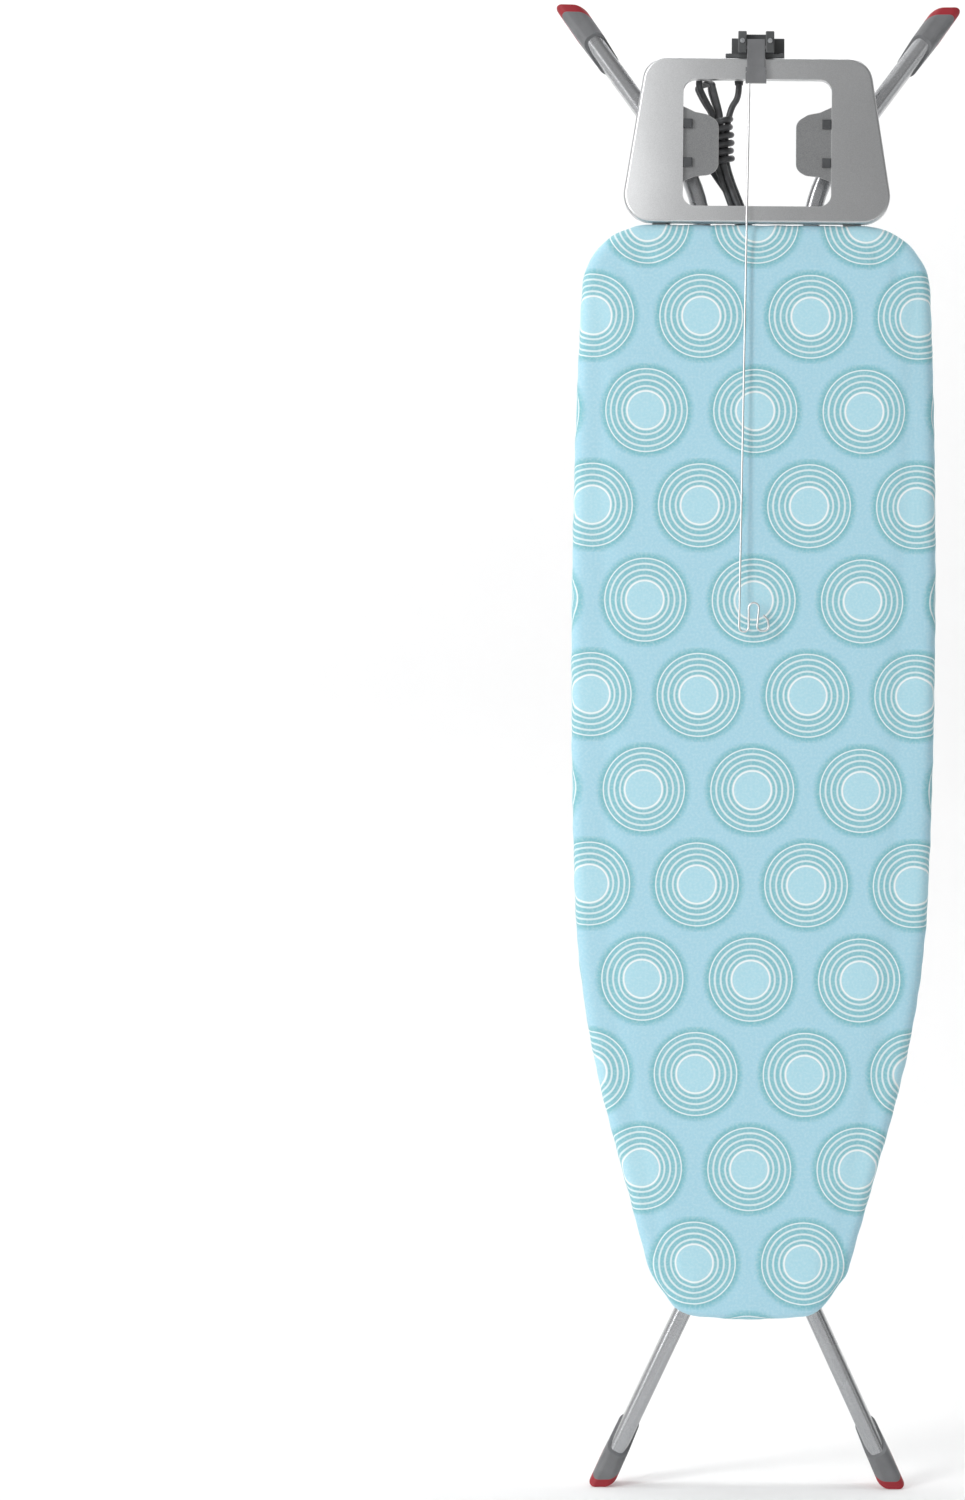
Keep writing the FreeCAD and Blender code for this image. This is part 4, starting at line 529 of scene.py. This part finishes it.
# Printed cotton: plain weave with a soft matt face. The print is plain ringed
# discs in rows, each row half a repeat across, in pale and deeper aqua.
cotton, cotton_tree, cotton_shader = new_finish("printed_cotton", Roughness=0.82)
cotton_shader.inputs["Sheen Weight"].default_value = 0.25
cotton_shader.inputs["Sheen Roughness"].default_value = 0.5
cotton_shader.inputs["Specular IOR Level"].default_value = 0.25
REPEAT_ACROSS = 120.0
REPEAT_DOWN = 104.0
PALE_AQUA = hex_tone("#AFDDEA")
GROUND_AQUA = hex_tone("#A8D6E6")
BAND_AQUA = hex_tone("#86C3CE")
DEEP_AQUA = hex_tone("#62B2BA")
LINE_WHITE = hex_tone("#F4FBFC")
# The printed edges are soft over 0.6 mm each way, and the shade reaches 9 mm.
PRINT_SOFT = 0.6
SHADE_REACH = 9.0

cotton_flat = add_node(cotton_tree, "UVMap", uv_map="flat_cut").outputs["UV"]
cotton_mm = add_node(
    cotton_tree,
    "VectorMath",
    {0: cotton_flat, 1: (FLAT_SPAN * 1000,) * 3, 2: (-FLAT_SPAN * 500, -FLAT_SPAN * 1000, 0)},
    operation="MULTIPLY_ADD",
).outputs[0]
cotton_parts = add_node(cotton_tree, "SeparateXYZ", {"Vector": cotton_mm})


def repeat_cell(tree, centre_x, low_z, from_x):
    """The print's own coordinates within one repeat, alternate rows half a repeat across."""
    rows = add_node(
        tree,
        "Math",
        {
            0: add_node(
                tree,
                "Math",
                {0: cotton_parts.outputs["Y"], 1: low_z},
                operation="SUBTRACT",
            ).outputs[0],
            1: REPEAT_DOWN,
        },
        operation="DIVIDE",
    ).outputs[0]
    row = add_node(tree, "Math", {0: rows}, operation="FLOOR").outputs[0]
    z = add_node(
        tree,
        "Math",
        {
            0: add_node(tree, "Math", {0: rows, 1: row}, operation="SUBTRACT").outputs[0],
            1: REPEAT_DOWN,
        },
        operation="MULTIPLY",
    ).outputs[0]
    odd = add_node(tree, "Math", {0: row, 1: 2.0}, operation="FLOORED_MODULO").outputs[0]
    shift = add_node(
        tree,
        "Math",
        {0: odd, 1: REPEAT_ACROSS / 2, 2: centre_x},
        operation="MULTIPLY_ADD",
    ).outputs[0]
    x = add_node(
        tree,
        "Math",
        {0: cotton_parts.outputs["X"], 1: shift},
        operation="SUBTRACT",
    ).outputs[0]
    x = add_node(
        tree,
        "Math",
        {0: x, 1: from_x + REPEAT_ACROSS, 2: from_x},
        operation="WRAP",
    ).outputs[0]
    return x, z


def lined_band(tree, cell, outer, inner, lines, outer_line, inner_line):
    """A band between two circles, each (x, z, radius): its share, the share of
    its white lines, of the shade outside it and of the field inside it."""
    x, z = cell
    place = add_node(tree, "CombineXYZ", {"X": x, "Y": z}).outputs[0]
    away = []
    for centre_x, centre_z, radius in (outer, inner):
        inputs = {0: place, 1: (centre_x, centre_z, 0)}
        distance = add_node(tree, "VectorMath", inputs, operation="DISTANCE").outputs["Value"]
        away.append(
            add_node(tree, "Math", {0: distance, 1: radius}, operation="SUBTRACT").outputs[0],
        )
    within = add_node(tree, "Math", {0: away[0], 1: -1.0}, operation="MULTIPLY").outputs[0]
    share = add_node(
        tree,
        "Math",
        {
            0: add_node(
                tree,
                "MapRange",
                {"Value": within, "From Min": -PRINT_SOFT, "From Max": PRINT_SOFT},
                interpolation_type="SMOOTHSTEP",
            ).outputs[0],
            1: add_node(
                tree,
                "MapRange",
                {"Value": away[1], "From Min": -PRINT_SOFT, "From Max": PRINT_SOFT},
                interpolation_type="SMOOTHSTEP",
            ).outputs[0],
        },
        operation="MULTIPLY",
    ).outputs[0]
    width = add_node(tree, "Math", {0: within, 1: away[1]}, operation="ADD").outputs[0]
    across = add_node(tree, "Math", {0: within, 1: width}, operation="DIVIDE").outputs[0]
    near = add_node(
        tree,
        "Math",
        {
            0: add_node(
                tree,
                "Math",
                {0: across, 1: float(lines)},
                operation="MULTIPLY",
            ).outputs[0],
            1: 0.5,
        },
        operation="PINGPONG",
    ).outputs[0]
    near = add_node(
        tree,
        "Math",
        {
            0: near,
            1: add_node(tree, "Math", {0: width, 1: float(lines)}, operation="DIVIDE").outputs[0],
        },
        operation="MULTIPLY",
    ).outputs[0]
    thin = add_node(
        tree,
        "MapRange",
        {"Value": near, "From Min": 1.6, "From Max": 0.45},
        interpolation_type="SMOOTHSTEP",
    ).outputs[0]
    outer_edge = add_node(
        tree,
        "MapRange",
        {
            "Value": add_node(tree, "Math", {0: away[0]}, operation="ABSOLUTE").outputs[0],
            "From Min": outer_line,
            "From Max": outer_line * 0.35,
        },
        interpolation_type="SMOOTHSTEP",
    ).outputs[0]
    inner_edge = add_node(
        tree,
        "MapRange",
        {
            "Value": add_node(tree, "Math", {0: away[1]}, operation="ABSOLUTE").outputs[0],
            "From Min": inner_line,
            "From Max": inner_line * 0.35,
        },
        interpolation_type="SMOOTHSTEP",
    ).outputs[0]
    white = add_node(
        tree,
        "Math",
        {
            0: add_node(tree, "Math", {0: thin, 1: 0.72}, operation="MULTIPLY").outputs[0],
            1: outer_edge,
        },
        operation="MAXIMUM",
    ).outputs[0]
    white = add_node(tree, "Math", {0: white, 1: inner_edge}, operation="MAXIMUM").outputs[0]
    shade = add_node(
        tree,
        "MapRange",
        {"Value": away[0], "From Min": SHADE_REACH, "From Max": 0.0},
        interpolation_type="SMOOTHSTEP",
    ).outputs[0]
    field = add_node(
        tree,
        "Math",
        {
            0: add_node(
                tree,
                "MapRange",
                {"Value": within, "From Min": -PRINT_SOFT, "From Max": PRINT_SOFT},
                interpolation_type="SMOOTHSTEP",
            ).outputs[0],
            1: add_node(
                tree,
                "MapRange",
                {"Value": away[1], "From Min": PRINT_SOFT, "From Max": -PRINT_SOFT},
                interpolation_type="SMOOTHSTEP",
            ).outputs[0],
        },
        operation="MULTIPLY",
    ).outputs[0]
    return share, white, shade, field


disc_cell = repeat_cell(cotton_tree, 0.0, 0.0, -REPEAT_ACROSS / 2)
disc_outer = (0.0, REPEAT_DOWN / 2, 46.0)
disc_inner = (0.0, REPEAT_DOWN / 2, 20.0)
share, white, shade, field = lined_band(cotton_tree, disc_cell, disc_outer, disc_inner, 4, 1.8, 3.2)
soft_shade = add_node(cotton_tree, "Math", {0: shade, 1: 0.75}, operation="MULTIPLY").outputs[0]
print_layers = [(soft_shade, DEEP_AQUA), (field, PALE_AQUA)]
lined = {0: white, 6: BAND_AQUA, 7: LINE_WHITE}
print_layers.append((share, add_node(cotton_tree, "Mix", lined, data_type="RGBA").outputs[2]))
print_tone = GROUND_AQUA
for layer_share, layer_tone in print_layers:
    laid = {0: layer_share, 6: print_tone, 7: layer_tone}
    print_tone = add_node(cotton_tree, "Mix", laid, data_type="RGBA").outputs[2]
blotch = add_node(
    cotton_tree, "TexNoise", {"Vector": cotton_mm, "Scale": 0.35, "Detail": 3.0}
).outputs["Fac"]
blotch = add_node(
    cotton_tree,
    "Math",
    {
        0: add_node(
            cotton_tree,
            "MapRange",
            {"Value": blotch, "From Min": 0.35, "From Max": 0.75},
            interpolation_type="SMOOTHSTEP",
        ).outputs[0],
        1: 0.16,
    },
    operation="MULTIPLY",
).outputs[0]
print_tone = add_node(
    cotton_tree,
    "Mix",
    {0: blotch, 6: print_tone, 7: hex_tone("#FFFFFF")},
    data_type="RGBA",
).outputs[2]
cotton_tree.links.new(print_tone, cotton_shader.inputs["Base Color"])
# The real threads are 0.4 mm apart; they are drawn at 1.4 mm so that they show.
THREAD_MM = 1.4
warp = add_node(
    cotton_tree,
    "TexWave",
    {"Vector": cotton_mm, "Scale": 2 * math.pi / 20 / THREAD_MM, "Distortion": 0.4},
    bands_direction="X",
).outputs["Fac"]
weft = add_node(
    cotton_tree,
    "TexWave",
    {"Vector": cotton_mm, "Scale": 2 * math.pi / 20 / THREAD_MM, "Distortion": 0.4},
    bands_direction="Y",
).outputs["Fac"]
weave = add_node(cotton_tree, "Math", {0: warp, 1: weft}, operation="ADD").outputs[0]
cotton_bump = add_node(cotton_tree, "Bump", {"Height": weave, "Distance": 0.00012, "Strength": 0.5})
cotton_tree.links.new(cotton_bump.outputs[0], cotton_shader.inputs["Normal"])
cover_cloth.data.materials.append(cotton)
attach(cover_cloth, "board")
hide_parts("cover")


# Pad: white needled polyester felt over thin foam, cut to the board and glued
# at its edge. It fills the cover and gives the board its rounded edge.
pad_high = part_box("foam_pad")[1]
PAD_IN = 0.0016
pad_section = [
    (PAD_IN + 0.0060, pad_high.y),
    (PAD_IN + 0.0020, pad_high.y),
    (PAD_IN + 0.0002, pad_high.y - 0.0006),
    (PAD_IN + 0.0000, pad_high.y - 0.0022),
    (PAD_IN + 0.0012, pad_high.y - 0.0042),
    (PAD_IN + 0.0036, pad_high.y - 0.0060),
    (PAD_IN + 0.0068, pad_high.y - 0.0072),
    (PAD_IN + 0.0110, pad_high.y - 0.0077),
    (PAD_IN + 0.0160, pad_high.y - 0.0078),
]
PAD_RINGS = 12
pad_rings = []
for inset, y in pad_section:
    place = edge_line - outward * inset
    pad_rings.append(np.stack([place[:, 0], np.full(AROUND, y), place[:, 1]], axis=1))
for rim_ring, put in ((pad_rings[0], pad_rings.insert), (pad_rings[-1], None)):
    middle = np.stack(
        [np.zeros(AROUND), rim_ring[:, 1], np.clip(rim_ring[:, 2], spine_foot, spine_top)], axis=1
    )
    for step in range(1, PAD_RINGS + 1):
        ring = middle + (rim_ring - middle) * (1 - step / PAD_RINGS)
        if put:
            put(0, ring)
        else:
            pad_rings.append(ring)
felt_pad = bpy.data.objects.new("felt_pad", join_rings("felt_pad", pad_rings))
bpy.context.scene.collection.objects.link(felt_pad)
pick(felt_pad)
bpy.ops.object.mode_set(mode="EDIT")
bpy.ops.mesh.select_all(action="SELECT")
bpy.ops.mesh.remove_doubles(threshold=0.0002)
bpy.ops.mesh.normals_make_consistent(inside=False)
bpy.ops.object.mode_set(mode="OBJECT")
bpy.ops.object.shade_smooth()
felt, felt_tree, felt_shader = new_finish("needled_polyester_felt", Roughness=0.95)
felt_place = add_node(felt_tree, "TexCoord").outputs["Object"]
felt_fibre = add_node(
    felt_tree, "TexNoise", {"Vector": felt_place, "Scale": 420.0, "Detail": 8.0, "Distortion": 1.5}
).outputs["Fac"]
felt_tone = add_node(felt_tree, "ValToRGB", {"Fac": felt_fibre})
set_ramp(felt_tone, (0.3, "#D9DAD6"), (0.7, "#F1F1EE"))
felt_tree.links.new(felt_tone.outputs["Color"], felt_shader.inputs["Base Color"])
felt_shader.inputs["Sheen Weight"].default_value = 0.3
felt_bump = add_node(felt_tree, "Bump", {"Height": felt_fibre, "Distance": 0.0004, "Strength": 1.0})
felt_tree.links.new(felt_bump.outputs[0], felt_shader.inputs["Normal"])
felt_pad.data.materials.append(felt)
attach(felt_pad, "board")
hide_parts("foam_pad")


# Iron rest: pressed steel sheet, sprayed in silver lacquer over its rolled edges,
# which carry a painted highlight. The flake in the lacquer gives a fine even sparkle.
def edge_wear_and_highlight(tree, reach):
    """How much of a surface is near a sharp edge: where a finish wears thin, and where lacquered
    steel gets a painted highlight.
    """
    bevel = add_node(tree, "Bevel", {"Radius": reach}, samples=6)
    face = add_node(tree, "NewGeometry").outputs["Normal"]
    inputs = {0: bevel.outputs[0], 1: face}
    match = add_node(tree, "VectorMath", inputs, operation="DOT_PRODUCT").outputs["Value"]
    return add_node(
        tree,
        "MapRange",
        {"Value": match, "From Min": 0.995, "From Max": 0.86},
        interpolation_type="SMOOTHSTEP",
    ).outputs[0]


def give(finish, *names):
    """Puts a finish on whole CAD nodes."""
    for name in names:
        mesh = NODES[name].data
        mesh.materials.clear()
        mesh.materials.append(finish)


def lacquered_steel(name, dark, light, flake_mm, roughness, metallic, crown_mm=0.0):
    """Steel sprayed with a metallic lacquer: flakes, orange peel, and a painted highlight along its
    edges.
    A pressed sheet is slightly crowned, which draws its reflections out sideways."""
    made, tree, shader = new_finish(name, Roughness=roughness, Metallic=metallic)
    place = add_node(tree, "TexCoord").outputs["Object"]
    flake = add_node(tree, "TexVoronoi", {"Vector": place, "Scale": 1000 / flake_mm})
    cloud = add_node(
        tree,
        "TexNoise",
        {"Vector": place, "Scale": 14.0, "Detail": 3.0},
    ).outputs["Fac"]
    tone = add_node(tree, "ValToRGB", {"Fac": flake.outputs["Color"]})
    set_ramp(tone, (0.15, dark), (0.9, light))
    edge = edge_wear_and_highlight(tree, 0.0012)
    toned = add_node(
        tree,
        "Mix",
        {
            0: add_node(tree, "Math", {0: cloud, 1: 0.35}, operation="MULTIPLY").outputs[0],
            6: tone.outputs["Color"],
            7: hex_tone(light),
        },
        data_type="RGBA",
    ).outputs[2]
    # Painted highlight: within 1.2 mm of a sharp edge the lacquer is mixed half way to near-white.
    toned = add_node(
        tree,
        "Mix",
        {
            0: add_node(tree, "Math", {0: edge, 1: 0.5}, operation="MULTIPLY").outputs[0],
            6: toned,
            7: hex_tone("#F2F2F2"),
        },
        data_type="RGBA",
    ).outputs[2]
    tree.links.new(toned, shader.inputs["Base Color"])
    spread = {"Value": cloud, "To Min": roughness - 0.05, "To Max": roughness + 0.06}
    rough = add_node(tree, "MapRange", spread)
    tree.links.new(rough.outputs[0], shader.inputs["Roughness"])
    height = add_node(
        tree,
        "Math",
        {
            0: add_node(
                tree,
                "TexNoise",
                {"Vector": place, "Scale": 900.0, "Detail": 2.0},
            ).outputs["Fac"],
            1: 3e-05,
        },
        operation="MULTIPLY",
    ).outputs[0]
    if crown_mm:
        parts = add_node(tree, "SeparateXYZ", {"Vector": place})
        bow = add_node(
            tree,
            "Math",
            {0: parts.outputs["X"], 1: parts.outputs["X"]},
            operation="MULTIPLY",
        ).outputs[0]
        bow = add_node(
            tree,
            "Math",
            {0: bow, 1: -crown_mm / 1000 / 0.15 ** 2},
            operation="MULTIPLY",
        ).outputs[0]
        height = add_node(tree, "Math", {0: height, 1: bow}, operation="ADD").outputs[0]
    bump = add_node(tree, "Bump", {"Height": height, "Distance": 1.0, "Strength": 1.0})
    tree.links.new(bump.outputs[0], shader.inputs["Normal"])
    return made


silver_lacquer = lacquered_steel(
    "silver_lacquer_on_steel", "#BDBEBF", "#CBCCCD", 0.7, 0.34, 0.85, crown_mm=14.0
)
give(silver_lacquer, "rest_frame")
# The wings sit down in the rest's opening: they get the same silver lacquer, painted darker there
# as shade.
shade_lacquer = lacquered_steel("silver_lacquer_in_painted_shade_on_wings", "#8E8F90", "#A3A4A5", 0.7, 0.36, 0.8)
give(shade_lacquer, "rest_wing_left", "rest_wing_right")
leg_lacquer = lacquered_steel("graphite_lacquer_on_tube", "#A0A1A3", "#BCBDBF", 0.7, 0.26, 0.9)
leg_nodes = [n for n in NODES if "_leg_" in n or n.endswith("_brace") or n.endswith("_lugs")]
give(leg_lacquer, *leg_nodes)
deck_lacquer = lacquered_steel("light_grey_lacquer_on_deck", "#B4B6B6", "#CBCCCC", 0.8, 0.5, 0.25)
give(deck_lacquer, "mesh_deck", "deck_rim", "cross_members", "hinge_bracket", "guide_channel")
give(deck_lacquer, "rest_arm_left", "rest_arm_right")


# Small steel: zinc-plated rods, screws, nuts and washers, and the bright
# sprung wire. Plating dulls unevenly, so its gloss is mottled.
def plated_steel(name, dark, light, roughness):
    """Bright plating over steel, with a mottled gloss and fine drawn lines."""
    made, tree, shader = new_finish(name, Roughness=roughness, Metallic=1.0)
    place = add_node(tree, "TexCoord").outputs["Object"]
    cloud = add_node(
        tree,
        "TexNoise",
        {"Vector": place, "Scale": 260.0, "Detail": 6.0},
    ).outputs["Fac"]
    tone = add_node(tree, "ValToRGB", {"Fac": cloud})
    set_ramp(tone, (0.3, dark), (0.7, light))
    tree.links.new(tone.outputs["Color"], shader.inputs["Base Color"])
    spread = {"Value": cloud, "To Min": roughness - 0.07, "To Max": roughness + 0.1}
    rough = add_node(tree, "MapRange", spread)
    tree.links.new(rough.outputs[0], shader.inputs["Roughness"])
    bump = add_node(
        tree,
        "Bump",
        {
            "Height": add_node(
                tree,
                "TexNoise",
                {"Vector": place, "Scale": 1500.0, "Detail": 2.0},
            ).outputs["Fac"],
            "Distance": 4e-05,
            "Strength": 0.4,
        },
    )
    tree.links.new(bump.outputs[0], shader.inputs["Normal"])
    return made


SLOT_OF = {part["node"]: part["material_slot"] for part in frame["record"]["subparts"]}
zinc_plate = plated_steel("zinc_plate", "#A9ACB0", "#D2D4D6", 0.3)
zinc_nodes = [n for n, slot in SLOT_OF.items() if slot == "zinc_steel" and n != "guide_channel"]
give(zinc_plate, *zinc_nodes)
bright_wire = plated_steel("nickel_plated_spring_wire", "#D9DADB", "#EFEFEF", 0.32)
give(bright_wire, *[n for n, slot in SLOT_OF.items() if slot == "spring_wire"])
nickel = plated_steel("nickel_plated_pins", "#B9B4A8", "#DAD6CC", 0.22)
give(nickel, *[n for n, slot in SLOT_OF.items() if slot == "nickel_pins"])
contact_brass = plated_steel("stamped_brass", "#B08D45", "#D9B868", 0.3)
give(contact_brass, *[n for n, slot in SLOT_OF.items() if slot == "brass"])


# Mouldings: grey polypropylene leg caps, cable guide, socket and grip; nylon
# rollers and bushes; silicone rest pads; red rubber soles.
def moulding(name, dark, light, grain_mm, roughness, grain_depth, sheen=0.0):
    """A moulded plastic or rubber with spark-eroded grain and scuffed edges."""
    made, tree, shader = new_finish(name, Roughness=roughness)
    shader.inputs["Sheen Weight"].default_value = sheen
    place = add_node(tree, "TexCoord").outputs["Object"]
    cloud = add_node(
        tree,
        "TexNoise",
        {"Vector": place, "Scale": 40.0, "Detail": 6.0},
    ).outputs["Fac"]
    grain = add_node(
        tree,
        "TexNoise",
        {"Vector": place, "Scale": 1000 / grain_mm, "Detail": 3.0},
    ).outputs["Fac"]
    tone = add_node(tree, "ValToRGB", {"Fac": cloud})
    set_ramp(tone, (0.3, dark), (0.75, light))
    scuff = add_node(
        tree,
        "Math",
        {0: edge_wear_and_highlight(tree, 0.0009), 1: 0.4},
        operation="MULTIPLY",
    ).outputs[0]
    toned = add_node(
        tree,
        "Mix",
        {0: scuff, 6: tone.outputs["Color"], 7: hex_tone(light)},
        data_type="RGBA",
    ).outputs[2]
    tree.links.new(toned, shader.inputs["Base Color"])
    spread = {"Value": grain, "To Min": roughness - 0.05, "To Max": roughness + 0.08}
    rough = add_node(tree, "MapRange", spread)
    tree.links.new(rough.outputs[0], shader.inputs["Roughness"])
    bump = add_node(tree, "Bump", {"Height": grain, "Distance": grain_depth, "Strength": 0.7})
    tree.links.new(bump.outputs[0], shader.inputs["Normal"])
    return made


# The real grain is 0.3 mm; it is drawn at 0.9 mm so that it shows.
grey_polypropylene = moulding("grained_grey_polypropylene", "#68696B", "#7C7D7F", 0.9, 0.48, 0.0001)
dark_polypropylene = moulding("dark_grey_polypropylene", "#454748", "#565859", 0.9, 0.45, 0.0001)
grey_nodes = [n for n, slot in SLOT_OF.items() if slot == "grey_plastic"]
give(grey_polypropylene, *grey_nodes)
give(dark_polypropylene, "socket_saddle", "guide_bracket")
give(
    moulding("dark_nylon", "#2E3032", "#414446", 0.8, 0.4, 0.00006),
    *[n for n, slot in SLOT_OF.items() if slot == "nylon"],
)
give(
    moulding("dark_silicone", "#3B3D3F", "#4C4E50", 1.2, 0.6, 0.00008, 0.15),
    *[n for n, slot in SLOT_OF.items() if slot == "silicone"],
)
give(
    moulding("red_rubber", "#8E1622", "#A8202D", 1.0, 0.5, 0.00012, 0.1),
    *[n for n, slot in SLOT_OF.items() if slot == "red_rubber"],
)
give(
    moulding("moulded_black_rubber", "#2F3031", "#414243", 0.9, 0.5, 0.0001),
    *[n for n, slot in SLOT_OF.items() if slot == "cord_rubber"],
)
